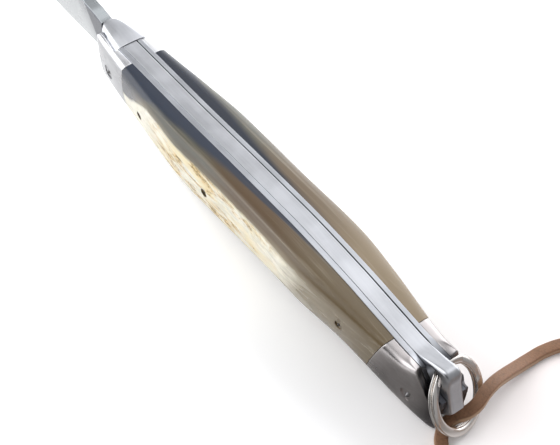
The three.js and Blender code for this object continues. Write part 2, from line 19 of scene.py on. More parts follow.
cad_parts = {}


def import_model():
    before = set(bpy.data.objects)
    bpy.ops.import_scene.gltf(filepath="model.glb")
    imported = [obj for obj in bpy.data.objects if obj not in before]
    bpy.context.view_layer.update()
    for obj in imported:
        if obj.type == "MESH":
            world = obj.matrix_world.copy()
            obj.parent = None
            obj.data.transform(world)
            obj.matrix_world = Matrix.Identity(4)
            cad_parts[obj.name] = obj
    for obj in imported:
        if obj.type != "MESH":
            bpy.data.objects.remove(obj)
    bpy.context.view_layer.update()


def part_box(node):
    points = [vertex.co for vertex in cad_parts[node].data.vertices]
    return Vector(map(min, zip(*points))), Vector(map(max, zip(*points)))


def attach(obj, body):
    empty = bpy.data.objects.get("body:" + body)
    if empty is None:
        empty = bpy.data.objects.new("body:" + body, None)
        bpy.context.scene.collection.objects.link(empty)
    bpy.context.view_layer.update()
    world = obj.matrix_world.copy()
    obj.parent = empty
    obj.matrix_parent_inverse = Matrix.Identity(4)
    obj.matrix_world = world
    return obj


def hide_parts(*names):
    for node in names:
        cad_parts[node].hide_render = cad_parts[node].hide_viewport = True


LOG = logging.getLogger("knife")
Point = tuple[float, float, float]
Pair = tuple[float, float]
Piece = bpy.types.Object
Socket = bpy.types.NodeSocket
Sockets = bpy.types.bpy_prop_collection

PIN_PLACES = ("front", "middle", "rear")


class Side(Enum):
    """The two sides of the handle, with the sign of their y."""

    LEFT = 1
    RIGHT = -1

    @property
    def word(self) -> str:
        """The side's name as the nodes spell it."""
        return self.name.lower()


# Frame and curves


@dataclass(frozen=True)
class HandleFrame:
    """Where the handle's own frame lies in the row's frame."""

    origin: Point = (104.1816, -0.5138, -17.8973)

    def place(self, point: Sequence[float]) -> Vector:
        """Turn a point of the handle's frame, in millimetres, into one of the row's frame, in metres."""
        return Vector([(a - b) / 1000.0 for a, b in zip(point, self.origin)])

    def find(self, point: Sequence[float]) -> tuple[float, ...]:
        """Turn a point of the row's frame, in metres, into one of the handle's frame, in millimetres."""
        return tuple(a * 1000.0 + b for a, b in zip(point, self.origin))


FRAME = HandleFrame()


def spread(start: float, end: float, steps: int) -> list[float]:
    """Give evenly spaced values from start to end, both included."""
    return [start + (end - start) * i / steps for i in range(steps + 1)]


def smooth_curve(points: Sequence[Pair], length: float = 1.0, start: float = 0.0) -> Callable[[float], float]:
    """Draw a smooth curve through points that doesn't overshoot them.

    Args:
        points: pairs of a share of the length and the value there.
        length: the length that the shares are of.
        start: where the first share lies.

    Returns:
        A function of the place along the length.
    """
    xs = [start + share * length for share, _ in points]
    ys = [value for _, value in points]
    slope = [(ys[i + 1] - ys[i]) / (xs[i + 1] - xs[i]) for i in range(len(xs) - 1)]
    tangent = [slope[0]]
    for i in range(1, len(xs) - 1):
        flat = slope[i - 1] * slope[i] <= 0
        tangent.append(0.0 if flat else 2 / (1 / slope[i - 1] + 1 / slope[i]))
    tangent.append(slope[-1])

    def value(x: float) -> float:
        """Work out the curve's height, which is held level past both ends.

        Args:
            x: the place along the length.

        Returns:
            The height there.
        """
        if x <= xs[0]:
            return ys[0]
        if x >= xs[-1]:
            return ys[-1]
        i = next(k for k in range(len(xs) - 1) if x < xs[k + 1])
        h = xs[i + 1] - xs[i]
        t = (x - xs[i]) / h
        return (
            ys[i] * (1 + 2 * t) * (1 - t) ** 2
            + tangent[i] * h * t * (1 - t) ** 2
            + ys[i + 1] * t * t * (3 - 2 * t)
            - tangent[i + 1] * h * t * t * (1 - t)
        )

    return value


def smoothstep(low: float, high: float, x: float) -> float:
    """0 below low, 1 above high and a smooth step between them."""
    t = min(1.0, max(0.0, (x - low) / (high - low)))
    return t * t * (3 - 2 * t)


@dataclass(frozen=True)
class KnifeShape:
    """The sizes that the pieces share, in millimetres in the handle's frame."""

    handle_length: float = 120.0
    shoulder_drop: float = 0.15
    widest_share: float = 0.36
    shoulder_power: float = 4.2
    belly_power: float = 2.3
    seam_gap: float = 0.05
    spring_width: float = 3.5
    gap_left: float = 0.1
    gap_right: float = 0.24
    liner_thickness: float = 1.0
    front_bolster: float = 14.7
    rear_bolster: float = 13.2
    rear_lean: float = 0.38
    nose_round: float = 2.6
    butt_reach: float = 1.2
    butt_low: float = 2.4
    butt_middle: float = -4.5
    nose_top: Pair = (-0.2, -0.8)
    nose_points: tuple[Pair, ...] = ((0.1, -4), (0.1, -7.5), (-0.5, -10.2), (-1.3, -11.8))
    outline_steps: int = 110
    bolster_foot: tuple[Pair, ...] = ((1, 0.15), (-0.4, 0.9), (-0.8, 2.4), (-0.9, 4.6), (-1.2, 8.4))
    liner_foot: tuple[Pair, ...] = ((1.6, 0.35), (0.8, 2.2), (-0.5, 4.4), (-1.2, 8.4))
    tail_foot: tuple[Pair, ...] = ((1.6, 0.35), (0.8, 2.2), (-0.5, 4.4), (-2.2, 5.8), (-2.9, 7.2))
    open_corner: tuple[Pair, ...] = ((-8, 5), (3.7, 5), (3.7, -3.6), (2.6, -6.2), (0.4, -7.6), (-8, -8.8))
    dip_start: float = 9.4
    dip_depth: float = 2.5
    dip_width: float = 2.3
    dip_end: float = 2.0
    back_points: tuple[Pair, ...] = (
        (0, -0.75), (0.035, -1.9), (0.075, -2.9), (0.14, -2.1), (0.24, -0.7), (0.4, 0.4),
        (0.55, 0.3), (0.72, -0.1), (0.92, 0), (1, -0.6),
    )
    belly_points: tuple[Pair, ...] = (
        (0, 17.7), (0.03, 17.9), (0.1, 16.9), (0.2, 15.2), (0.33, 15.5), (0.48, 16.6),
        (0.64, 17.2), (0.77, 16.2), (0.88, 14.6), (1, 13.2),
    )
    width_points: tuple[Pair, ...] = (
        (0, 3.7), (0.01, 4.5), (0.05, 5.5), (0.12, 6.5), (0.21, 7.8), (0.31, 8.8),
        (0.46, 8.5), (0.65, 8.8), (0.76, 7.8), (0.84, 6.7), (0.92, 5.6), (0.985, 4.3), (1, 3.6),
    )

    @cached_property
    def inner(self) -> float:
        """The liners' outer face, from the middle."""
        return self.spring_width / 2 + max(self.gap_left, self.gap_right) + self.liner_thickness

    @cached_property
    def front_seam(self) -> float:
        """Where the scales meet the front bolsters."""
        return self.handle_length - self.front_bolster

    @cached_property
    def back(self) -> Callable[[float], float]:
        """The back's height along the handle."""
        return smooth_curve(self.back_points, self.handle_length)

    @cached_property
    def belly(self) -> Callable[[float], float]:
        """The belly's height along the handle."""
        depth = smooth_curve(self.belly_points, self.handle_length)
        return lambda x: -depth(x)

    @cached_property
    def half_width(self) -> Callable[[float], float]:
        """Half the handle's width along it."""
        return smooth_curve(self.width_points, self.handle_length)

    def side_outline(self, x: float, samples: int) -> list[Pair]:
        """Draw the outer curve of one side's section, from the back to the belly.

        Args:
            x: the place along the handle.
            samples: points on each half of the curve.

        Returns:
            Pairs of y and z.
        """
        top = self.back(x) - self.shoulder_drop
        low = self.belly(x)
        middle = top - self.widest_share * (top - low)
        width = self.half_width(x) - self.inner
        points: list[Pair] = []
        for power, far, turns in ((self.shoulder_power, top, spread(math.pi / 2, 0, samples)),
                                  (self.belly_power, low, spread(0, math.pi / 2, samples)[1:])):
            points += [(self.inner + width * math.cos(t) ** (2 / power),
                        middle + (far - middle) * math.sin(t) ** (2 / power)) for t in turns]
        points[0] = (self.inner, points[0][1])
        points[-1] = (self.inner, points[-1][1])
        return points

    def butt_end(self, foot: Sequence[Pair]) -> list[Pair]:
        """Draw the butt's end, from the belly to the back.

        Args:
            foot: its lower end, as x and height above the belly.

        Returns:
            Pairs of x and z.
        """
        r, low = self.butt_reach, self.belly(0)
        return [*((x, low + up) for x, up in foot), (-r, self.butt_middle), (-0.9 * r, -2.2),
                (-0.5 * r, self.back(0) - 0.25)]

    def outline(self, foot: Sequence[Pair]) -> list[Pair]:
        """Draw the handle's outline from the side.

        Args:
            foot: the lower end of the butt, as x and height above the belly.

        Returns:
            Pairs of x and z, round the outline.
        """
        end = self.handle_length
        top = [(x, self.back(x)) for x in spread(0.2, end - self.nose_round / 2, self.outline_steps)]
        low = [(x, self.belly(x)) for x in spread(end - self.nose_round, self.butt_low, self.outline_steps)]
        nose = [(end + self.nose_top[0], self.back(end) + self.nose_top[1])]
        nose += [(end + ahead, z) for ahead, z in self.nose_points]
        return [*top, *nose, *low, *self.butt_end(foot)]


SHAPE = KnifeShape()


@dataclass(frozen=True)
class Flank:
    """One side of the head: how far its shoulder is rounded off and lies inside, and its flank's height."""

    round_off: float
    inset: float
    height: float


@dataclass(frozen=True)
class HeadShape:
    """The plain wedge at the front of the spring, which covers the tang."""

    length: float = 9.8
    overhang: float = 1.0
    half_width: float = 4.14
    nose_half_width: float = 1.35
    rise: float = 0.55
    left: Flank = Flank(0.5, 1.05, 1.15)
    right: Flank = Flank(0.15, 0.3, 0.35)
    nose_drop: float = 0.15
    wing_depth: float = 2.3
    wing_gap: float = 0.05

    @cached_property
    def rear(self) -> float:
        """The seam behind the head."""
        return SHAPE.handle_length + self.overhang - self.length

    @cached_property
    def front(self) -> float:
        """The head's nose."""
        return SHAPE.handle_length + self.overhang

    @cached_property
    def plan(self) -> Callable[[float], float]:
        """Half the head's width along it."""
        shares = ((0, 1.0), (0.45, 0.78), (0.85, 0.55), (1, self.nose_half_width / self.half_width))
        return smooth_curve([(at, share * self.half_width) for at, share in shares], self.length, self.rear)


HEAD = HeadShape()


@dataclass(frozen=True)
class RingShape:
    """The split ring, its hole and the line that it turns about."""

    hole_x: float = 3.1
    hole_z: float = -4.95
    hole_radius: float = 2.51
    radius: float = 7.0
    wire: float = 0.95
    lean: float = math.radians(32)
    yaw: float = math.radians(16.9)
    slide: float = math.radians(-19)
    gap: float = 0.35
    swing: float = math.radians(150)
    room_swings: int = 24
    room_arc: float = 1.5
    room_steps: int = 200
    room_sides: int = 96

    @property
    def turn(self) -> Matrix:
        """From the ring's own axes, its plane being y and z, to the handle's frame."""
        return (Matrix.Rotation(self.lean, 3, "Y") @ Matrix.Rotation(self.yaw, 3, "Z")
                @ Matrix.Rotation(self.slide, 3, "X"))

    @cache
    def room(self, y: float) -> list[Point]:
        """Work out the room that the turning wire needs in one section of the butt.

        Args:
            y: where the section is, from the handle's middle.

        Returns:
            The room's outline, or nothing where no wire comes.
        """
        wires = []
        for swing in spread(0, self.swing, self.room_swings):
            turn = Matrix.Rotation(swing, 3, "Y") @ self.turn
            for t in spread(-self.room_arc, self.room_arc, self.room_steps):
                p = turn @ Vector((0, self.radius * math.sin(t), self.radius * (math.cos(t) - 1)))
                aside = abs(p.y - y)
                if aside < self.wire:
                    reach = math.sqrt(self.wire**2 - aside**2) + self.gap
                    wires.append((self.hole_x + p.x, self.hole_z + p.z, reach))
        if not wires:
            return []

        def far(way: float) -> float:
            """How far the wires reach along one direction."""
            u, v = math.cos(way), math.sin(way)
            return max(x * u + z * v + reach for x, z, reach in wires)

        right, least_facing = math.pi / 2, 0.05
        mid_x, mid_z = (far(0) - far(2 * right)) / 2, (far(right) - far(3 * right)) / 2
        ways = spread(0, 2 * math.pi, self.room_sides)[1:]
        walls = [(way, far(way) - mid_x * math.cos(way) - mid_z * math.sin(way)) for way in ways]
        out = []
        for t in ways:
            room = min(wall / math.cos(way - t) for way, wall in walls if math.cos(way - t) > least_facing)
            out.append((mid_x + room * math.cos(t), y, mid_z + room * math.sin(t)))
        return out


RING = RingShape()


# Mesh helpers


def linked(name: str, data: bpy.types.ID) -> Piece:
    """Put new data into the scene.

    Args:
        name: the object's name.
        data: its mesh, lamp or camera.

    Returns:
        The object.
    """
    made = bpy.data.objects.new(name, data)
    bpy.context.scene.collection.objects.link(made)
    return made


def mark(made: Piece, name: str, value: Callable[[float, float, float], float]) -> None:
    """Note a number on each point of a mesh, for its material to read.

    Args:
        made: the piece.
        name: what the number is called.
        value: the number at a point of the handle's frame, in millimetres.
    """
    notes = made.data.attributes.new(name, "FLOAT", "POINT")
    for vert in made.data.vertices:
        notes.data[vert.index].value = value(*FRAME.find(vert.co))


def circle(radius: float, count: int) -> list[Pair]:
    """Give evenly spaced points round a circle."""
    return [(radius * math.cos(t), radius * math.sin(t)) for t in spread(0, 2 * math.pi, count)[1:]]


def mesh_object(name: str, points: Iterable[Sequence[float]], faces: Iterable[Sequence[int]]) -> Piece:
    """Make a mesh object from points, with its faces turned outwards.

    Args:
        name: the object's name.
        points: the corners, in millimetres in the handle's frame.
        faces: corner numbers of each face.

    Returns:
        The linked object, at the row's origin.
    """
    mesh = bpy.data.meshes.new(name)
    mesh.from_pydata([FRAME.place(p) for p in points], [], [tuple(f) for f in faces])
    mesh.validate()
    edit = bmesh.new()
    edit.from_mesh(mesh)
    bmesh.ops.remove_doubles(edit, verts=edit.verts, dist=1e-7)
    bmesh.ops.recalc_face_normals(edit, faces=edit.faces)
    edit.to_mesh(mesh)
    edit.free()
    return linked(name, mesh)


def loft(name: str, rings: Sequence[Sequence[Sequence[float]]]) -> Piece:
    """Make a closed solid through rings of equally many points.

    Args:
        name: the object's name.
        rings: the rings in order, each a list of points in the handle's frame.

    Returns:
        The solid.
    """
    count = len(rings[0])
    points = [p for ring in rings for p in ring]
    faces: list[Sequence[int]] = []
    for r in range(len(rings) - 1):
        for k in range(count):
            a, b = r * count + k, r * count + (k + 1) % count
            faces.append((a, b, b + count, a + count))
    faces.append(tuple(range(count)))
    last = (len(rings) - 1) * count
    faces.append(tuple(range(last, last + count)))
    return mesh_object(name, points, faces)


def plate(name: str, outline: Sequence[Pair], low: float, high: float) -> Piece:
    """Make a flat plate of an outline in x and z, from y = low to y = high."""
    return loft(name, [[(x, y, z) for x, z in outline] for y in (low, high)])


def rounded_plate(name: str, outline: Sequence[Pair], low: float, high: float,
                  rounding: Callable[[float, float], float], steps: int = 5) -> Piece:
    """Make a flat plate whose two rims are rounded.

    Args:
        name: the object's name.
        outline: pairs of x and z.
        low: the plate's right face.
        high: the plate's left face.
        rounding: the rim's radius at a point of the outline.
        steps: faces across a rounding.

    Returns:
        The plate.
    """
    count = len(outline)
    turning = sum(a[0] * b[1] - b[0] * a[1] for a, b in zip(outline, [*outline[1:], outline[0]]))
    way = math.copysign(1.0, turning)
    inward, radius = [], []
    for i, (x, z) in enumerate(outline):
        before, after = Vector(outline[i - 1]), Vector(outline[(i + 1) % count])
        into, out = (Vector((x, z)) - before).normalized(), (after - Vector((x, z))).normalized()
        along = (into + out).normalized()
        inward.append((-along.y * way, along.x * way))
        radius.append(rounding(x, z))
    hold = 0.06
    layers = [(math.sin(t), 1 - math.cos(t), 0.0) for t in spread(math.pi / 2, 0, steps)] + [(0.0, 0.0, hold)]
    rings = []
    for edge, sign, order in ((low, 1.0, layers), (high, -1.0, layers[::-1])):
        for rise, inset, inner in order:
            rings.append([(x + n[0] * r * inset, edge + sign * (r * (1 - rise) + inner), z + n[1] * r * inset)
                          for (x, z), n, r in zip(outline, inward, radius)])
    return loft(name, rings)


def sweep(name: str, path: Sequence[Vector], frames: Sequence[tuple[Vector, Vector]],
          section: Sequence[Pair]) -> Piece:
    """Make a closed tube of a section along a path.

    Args:
        name: the object's name.
        path: points in the handle's frame.
        frames: the section's two directions at each point.
        section: pairs along those two directions.

    Returns:
        The tube.
    """
    return loft(name, [[p + u * a + v * b for a, b in section] for p, (u, v) in zip(path, frames)])


def apply_modifiers(made: Piece) -> None:
    """Make an object's modifiers part of its mesh.

    Args:
        made: the object, which keeps its name and its mesh's name.
    """
    graph = bpy.context.evaluated_depsgraph_get()
    graph.update()
    mesh = bpy.data.meshes.new_from_object(
        made.evaluated_get(graph), preserve_all_data_layers=True, depsgraph=graph)
    made.modifiers.clear()
    old = made.data
    made.data = mesh
    mesh.name = old.name
    bpy.data.meshes.remove(old)


def boolean(body: Piece, tool: Piece, operation: str = "DIFFERENCE") -> None:
    """Cut a body with a tool, and remove the tool.

    Args:
        body: the solid that is cut.
        tool: the solid that cuts it.
        operation: DIFFERENCE takes the tool away, INTERSECT keeps what they share.
    """
    modifier = body.modifiers.new("cut", "BOOLEAN")
    modifier.object = tool
    modifier.operation = operation
    modifier.solver = "EXACT"
    apply_modifiers(body)
    bpy.data.objects.remove(tool)


def keep_largest(made: Piece) -> None:
    """Remove the slivers that a cut leaves loose.

    Args:
        made: the piece, of which only the largest part stays.
    """
    edit = bmesh.new()
    edit.from_mesh(made.data)
    edit.verts.ensure_lookup_table()
    seen: set[int] = set()
    groups: list[list[bmesh.types.BMVert]] = []
    for vert in edit.verts:
        if vert.index in seen:
            continue
        stack, group = [vert], []
        seen.add(vert.index)
        while stack:
            at = stack.pop()
            group.append(at)
            for edge in at.link_edges:
                other = edge.other_vert(at)
                if other.index not in seen:
                    seen.add(other.index)
                    stack.append(other)
        groups.append(group)
    groups.sort(key=len, reverse=True)
    loose = [v for group in groups[1:] for v in group]
    bmesh.ops.delete(edit, geom=loose, context="VERTS")
    edit.to_mesh(made.data)
    edit.free()


def bevel(made: Piece, width: float, angle: float = 35.0, segments: int = 2) -> None:
    """Round the sharp edges of a piece.

    Args:
        made: the piece.
        width: the rounding's width, in millimetres.
        angle: edges that turn by more degrees than this are rounded.
        segments: faces across a rounding.
    """
    modifier = made.modifiers.new("bevel", "BEVEL")
    modifier.width = width / 1000.0
    modifier.segments = segments
    modifier.limit_method = "ANGLE"
    modifier.angle_limit = math.radians(angle)
    modifier.use_clamp_overlap = True
    apply_modifiers(made)


def polish(made: Piece, grain: float, rubs: int) -> None:
    """Rub a piece's edges soft, as a polishing wheel does.

    Args:
        made: the piece.
        grain: the size of the new mesh's faces, in millimetres.
        rubs: how often it is smoothed.
    """
    remesh = made.modifiers.new("remesh", "REMESH")
    remesh.mode = "VOXEL"
    remesh.voxel_size = grain / 1000.0
    smooth = made.modifiers.new("smooth", "SMOOTH")
    smooth.factor = 0.5
    smooth.iterations = rubs
    apply_modifiers(made)
    made.data.shade_smooth()


def shade(made: Piece, angle: float = 32.0) -> None:
    """Shade a piece smoothly and keep its sharp edges.

    Args:
        made: the piece.
        angle: edges that turn by more degrees than this stay sharp.
    """
    mesh = made.data
    mesh.shade_smooth()
    mesh.set_sharp_from_angle(angle=math.radians(angle))


def finish_piece(made: Piece, body: str, slot: str, material: bpy.types.Material, *nodes: str) -> Piece:
    """Args:
        made: the piece.
        body: the body that it moves with.
        slot: not used.
        material: its finish.
        nodes: the solids that it stands for.

    Returns:
        The piece.
    """
    made.data.materials.clear()
    made.data.materials.append(material)
    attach(made, body)
    if nodes:
        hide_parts(*nodes)
    LOG.info("%s: %d faces on %s", made.name, len(made.data.polygons), body)
    return made


# Materials


class Nodes:
    """Short ways to add and join the nodes of one tree."""

    def __init__(self, tree: bpy.types.NodeTree) -> None:
        """Keep the tree that the nodes go into."""
        self.tree = tree

    def link(self, source: Socket, target: Socket) -> None:
        """Join an output to an input."""
        self.tree.links.new(source, target)

    def feed(self, socket: Socket, value: object) -> None:
        """Give an input what it takes.

        Args:
            socket: the input.
            value: another socket, a colour or a number.
        """
        if isinstance(value, Socket):
            self.link(value, socket)
        else:
            socket.default_value = (*value[:3], 1.0) if isinstance(value, tuple) else value

    def math(self, operation: str, a: object, b: object = 0.0) -> Socket:
        """Work a sum on sockets or numbers.

        Args:
            operation: the sum, by its name in Blender.
            a: the first value.
            b: the second value, where the sum takes one.

        Returns:
            The result.
        """
        node = self.tree.nodes.new("ShaderNodeMath")
        node.operation = operation
        self.feed(node.inputs[0], a)
        self.feed(node.inputs[1], b)
        return node.outputs[0]

    def plus(self, a: object, b: object) -> Socket:
        """Add two values."""
        return self.math("ADD", a, b)

    def minus(self, a: object, b: object) -> Socket:
        """Take the second value from the first."""
        return self.math("SUBTRACT", a, b)

    def times(self, a: object, b: object) -> Socket:
        """Multiply two values."""
        return self.math("MULTIPLY", a, b)

    def mix(self, factor: object, a: object, b: object, blend: str = "MIX") -> Socket:
        """Mix two colours.

        Args:
            factor: how much of the second colour there is.
            a: the first colour.
            b: the second colour.
            blend: the way of mixing, by its name in Blender.

        Returns:
            The mixed colour.
        """
        node = self.tree.nodes.new("ShaderNodeMix")
        node.data_type = "RGBA"
        node.blend_type = blend
        for socket, value in zip((node.inputs[0], node.inputs[6], node.inputs[7]), (factor, a, b)):
            self.feed(socket, value)
        return node.outputs[2]

    def ramp(self, value: Socket, low: float, high: float, out_low: float = 0.0,
             out_high: float = 1.0) -> Socket:
        """Spread a value from one range to another, smoothly and held at the ends.

        Args:
            value: what is spread.
            low: where the spread starts.
            high: where it ends.
            out_low: the result at the start.
            out_high: the result at the end.

        Returns:
            The spread value.
        """
        node = self.tree.nodes.new("ShaderNodeMapRange")
        node.interpolation_type = "SMOOTHSTEP"
        self.link(value, node.inputs[0])
        for i, number in enumerate((low, high, out_low, out_high), start=1):
            node.inputs[i].default_value = number
        return node.outputs[0]

    def attribute(self, name: str) -> Socket:
        """Read a number that the mesh carries.

        Args:
            name: what the number is called.

        Returns:
            The number.
        """
        node = self.tree.nodes.new("ShaderNodeAttribute")
        node.attribute_name = name
        return node.outputs["Fac"]

    def noise(self, vector: Socket, scale: Socket | Point | float, detail: float = 3.0,
              rough: float = 0.55, warp: float = 0.0) -> Socket:
        """Make noise.

        Args:
            vector: where it is read.
            scale: how fine it is, in all directions alike or along each axis.
            detail: how many finer layers it has.
            rough: how much the finer layers count.
            warp: how far it is bent.

        Returns:
            Its value, from 0 to 1.
        """
        node = self.tree.nodes.new("ShaderNodeTexNoise")
        if isinstance(scale, tuple):
            vector, scale = self.stretch(vector, scale), 1.0
        self.link(vector, node.inputs["Vector"])
        self.feed(node.inputs["Scale"], scale)
        node.inputs["Detail"].default_value = detail
        node.inputs["Roughness"].default_value = rough
        node.inputs["Distortion"].default_value = warp
        return node.outputs["Fac"]

    def stretch(self, vector: Socket, scale: Point, rotation: Point = (0, 0, 0)) -> Socket:
        """Stretch and turn a vector.

        Args:
            vector: what is stretched.
            scale: by how much along each axis.
            rotation: the turn about each axis, in radians.

        Returns:
            The new vector.
        """
        node = self.tree.nodes.new("ShaderNodeMapping")
        self.link(vector, node.inputs["Vector"])
        node.inputs["Scale"].default_value = scale
        node.inputs["Rotation"].default_value = rotation
        return node.outputs[0]

    def group(self, tree: bpy.types.NodeTree, vector: Socket, **values: float) -> Sockets:
        """Place a node group.

        Args:
            tree: the group.
            vector: where its effect is read.
            values: its other inputs by name.

        Returns:
            Its outputs.
        """
        node = self.tree.nodes.new("ShaderNodeGroup")
        node.node_tree = tree
        self.link(vector, node.inputs["Vector"])
        for key, value in values.items():
            node.inputs[key].default_value = value
        return node.outputs


def new_group(name: str, inputs: Sequence[tuple[str, str, object]],
              outputs: Sequence[tuple[str, str]]) -> tuple[Nodes, Sockets, Sockets]:
    """Create an empty shader node group.

    Args:
        name: the group's name.
        inputs: name, socket type and default of each input.
        outputs: name and socket type of each output.

    Returns:
        The group's node helper, what it is given and what it puts out.
    """
    tree = bpy.data.node_groups.new(name, "ShaderNodeTree")
    for label, kind, default in inputs:
        socket = tree.interface.new_socket(label, in_out="INPUT", socket_type=kind)
        if default is not None:
            socket.default_value = default
    for label, kind in outputs:
        tree.interface.new_socket(label, in_out="OUTPUT", socket_type=kind)
    given, out = tree.nodes.new("NodeGroupInput").outputs, tree.nodes.new("NodeGroupOutput").inputs
    return Nodes(tree), given, out


FLOAT, WHOLE, VECTOR = "NodeSocketFloat", "NodeSocketInt", "NodeSocketVector"


class Effects:
    """Shader groups that the finishes share: brushed lines, hand scratches and soft blotches."""

    def __init__(self) -> None:
        """Build each group once."""
        self.brush = self._brush()
        self.scratches = self._scratches()
        self.cloud = self._cloud()

    @staticmethod
    def _brush() -> bpy.types.NodeTree:
        """Build fine parallel lines, as a height and a mask.

        Returns:
            The group.
        """
        nodes, given, out = new_group(
            "BrushedLines", [("Vector", VECTOR, None)], [("Height", FLOAT), ("Mask", FLOAT)])
        fine = nodes.noise(given["Vector"], 1.0, 2.0, 0.6)
        coarse = nodes.noise(given["Vector"], (0.3, 0.3, 0.3), 2.0, 0.5)
        height = nodes.plus(nodes.times(fine, 0.6), nodes.times(coarse, 0.4))
        nodes.link(height, out["Height"])
        nodes.link(nodes.ramp(height, 0.35, 0.65), out["Mask"])
        return nodes.tree

    @staticmethod
    def _scratches() -> bpy.types.NodeTree:
        """Build thin scattered scratches in three directions, as a mask.

        Returns:
            The group.
        """
        nodes, given, out = new_group(
            "HandScratches", [("Vector", VECTOR, None), ("Density", FLOAT, 0.5)], [("Mask", FLOAT)])
        longer, patch_scale = 0.06, 90.0
        masks = []
        for turn, size in ((0.35, 900.0), (-0.9, 700.0), (1.3, 1100.0)):
            lines = nodes.stretch(given["Vector"], (size * longer, size, size), (0, turn * 0.4, turn))
            patches = nodes.stretch(given["Vector"], (patch_scale,) * 3, (turn, 0, 0))
            thin = nodes.ramp(nodes.noise(lines, 1.0, 1.0, 0.4), 0.66, 0.72)
            masks.append(nodes.times(thin, nodes.ramp(nodes.noise(patches, 1.0, 1.0), 0.42, 0.6)))
        total = nodes.math("MAXIMUM", nodes.math("MAXIMUM", masks[0], masks[1]), masks[2])
        nodes.link(nodes.times(total, given["Density"]), out["Mask"])
        return nodes.tree

    @staticmethod
    def _cloud() -> bpy.types.NodeTree:
        """Build soft blotches between 0 and 1, for handling marks and tone.

        Returns:
            The group.
        """
        nodes, given, out = new_group(
            "SoftBlotches", [("Vector", VECTOR, None), ("Scale", FLOAT, 60.0)], [("Value", FLOAT)])
        noise = nodes.noise(given["Vector"], given["Scale"], 4.0, 0.5)
        nodes.link(nodes.ramp(noise, 0.3, 0.7), out["Value"])
        return nodes.tree


def new_material(name: str) -> tuple[bpy.types.Material, Nodes, bpy.types.Node, Socket]:
    """Create a material with a Principled surface.

    Args:
        name: the material's name.

    Returns:
        The material, its node helper, the Principled node and the object coordinates.
    """
    material = bpy.data.materials.new(name)
    material.use_nodes = True
    nodes = Nodes(material.node_tree)
    surface = material.node_tree.nodes["Principled BSDF"]
    coordinates = material.node_tree.nodes.new("ShaderNodeTexCoord")
    return material, nodes, surface, coordinates.outputs["Object"]


def bump(nodes: Nodes, surface: bpy.types.Node, height: Socket, distance: float,
         strength: float = 1.0) -> None:
    """Feed a height into a surface's normal.

    Args:
        nodes: the material's node helper.
        surface: the Principled node.
        height: the height.
        distance: how high a height of 1 is, in metres.
        strength: how much of it shows.
    """
    node = nodes.tree.nodes.new("ShaderNodeBump")
    node.inputs["Distance"].default_value = distance
    node.inputs["Strength"].default_value = strength
    nodes.link(height, node.inputs["Height"])
    nodes.link(node.outputs["Normal"], surface.inputs["Normal"])


@dataclass(frozen=True)
class SteelFinish:
    """A steel surface with brushed lines, scratches and soft handling marks."""

    name: str
    colour: Point
    roughness: float
    lines: Point
    line_depth: float = 2.0e-6
    scratch: float = 0.5
    mottling: float = 0.12
    anisotropy: float = 0.0
    marks: tuple[tuple[str, Point], ...] = ()
    line_colour: Point = (0.95, 0.95, 0.96)
    cloud_scale: float = 110.0
    cloud_rough: float = 0.07
    scratch_rough: float = 0.12
    line_rough: float = 0.06

    def make(self, effects: Effects) -> bpy.types.Material:
        """Build the material; the mesh carries a number for each of the finish's marks, which paint light and
        shade into its colour.

        Args:
            effects: the shared shader groups.

        Returns:
            The material.
        """
        material, nodes, surface, place = new_material(self.name)
        brushed = nodes.group(effects.brush, nodes.stretch(place, self.lines))
        scratched = nodes.group(effects.scratches, place, Density=self.scratch)["Mask"]
        cloud = nodes.group(effects.cloud, place, Scale=self.cloud_scale)["Value"]
        tone = nodes.mix(cloud, tuple(c * (1 - self.mottling * 2) for c in self.colour), self.colour)
        tone = nodes.mix(nodes.times(brushed["Mask"], self.mottling), tone, self.line_colour)
        # Each mark multiplies the colour where the mesh carries its number; these marks paint light and shade
        # into the steel.
        for name, shade_of in self.marks:
            tone = nodes.mix(nodes.attribute(name), tone, shade_of, "MULTIPLY")
        nodes.link(tone, surface.inputs["Base Color"])
        rough = nodes.plus(self.roughness, nodes.times(cloud, self.cloud_rough))
        rough = nodes.plus(rough, nodes.times(scratched, self.scratch_rough))
        rough = nodes.plus(rough, nodes.times(brushed["Height"], self.line_rough))
        nodes.link(rough, surface.inputs["Roughness"])
        surface.inputs["Metallic"].default_value = 1.0
        surface.inputs["Anisotropic"].default_value = self.anisotropy
        bump(nodes, surface, nodes.minus(brushed["Height"], scratched), self.line_depth)
        return material


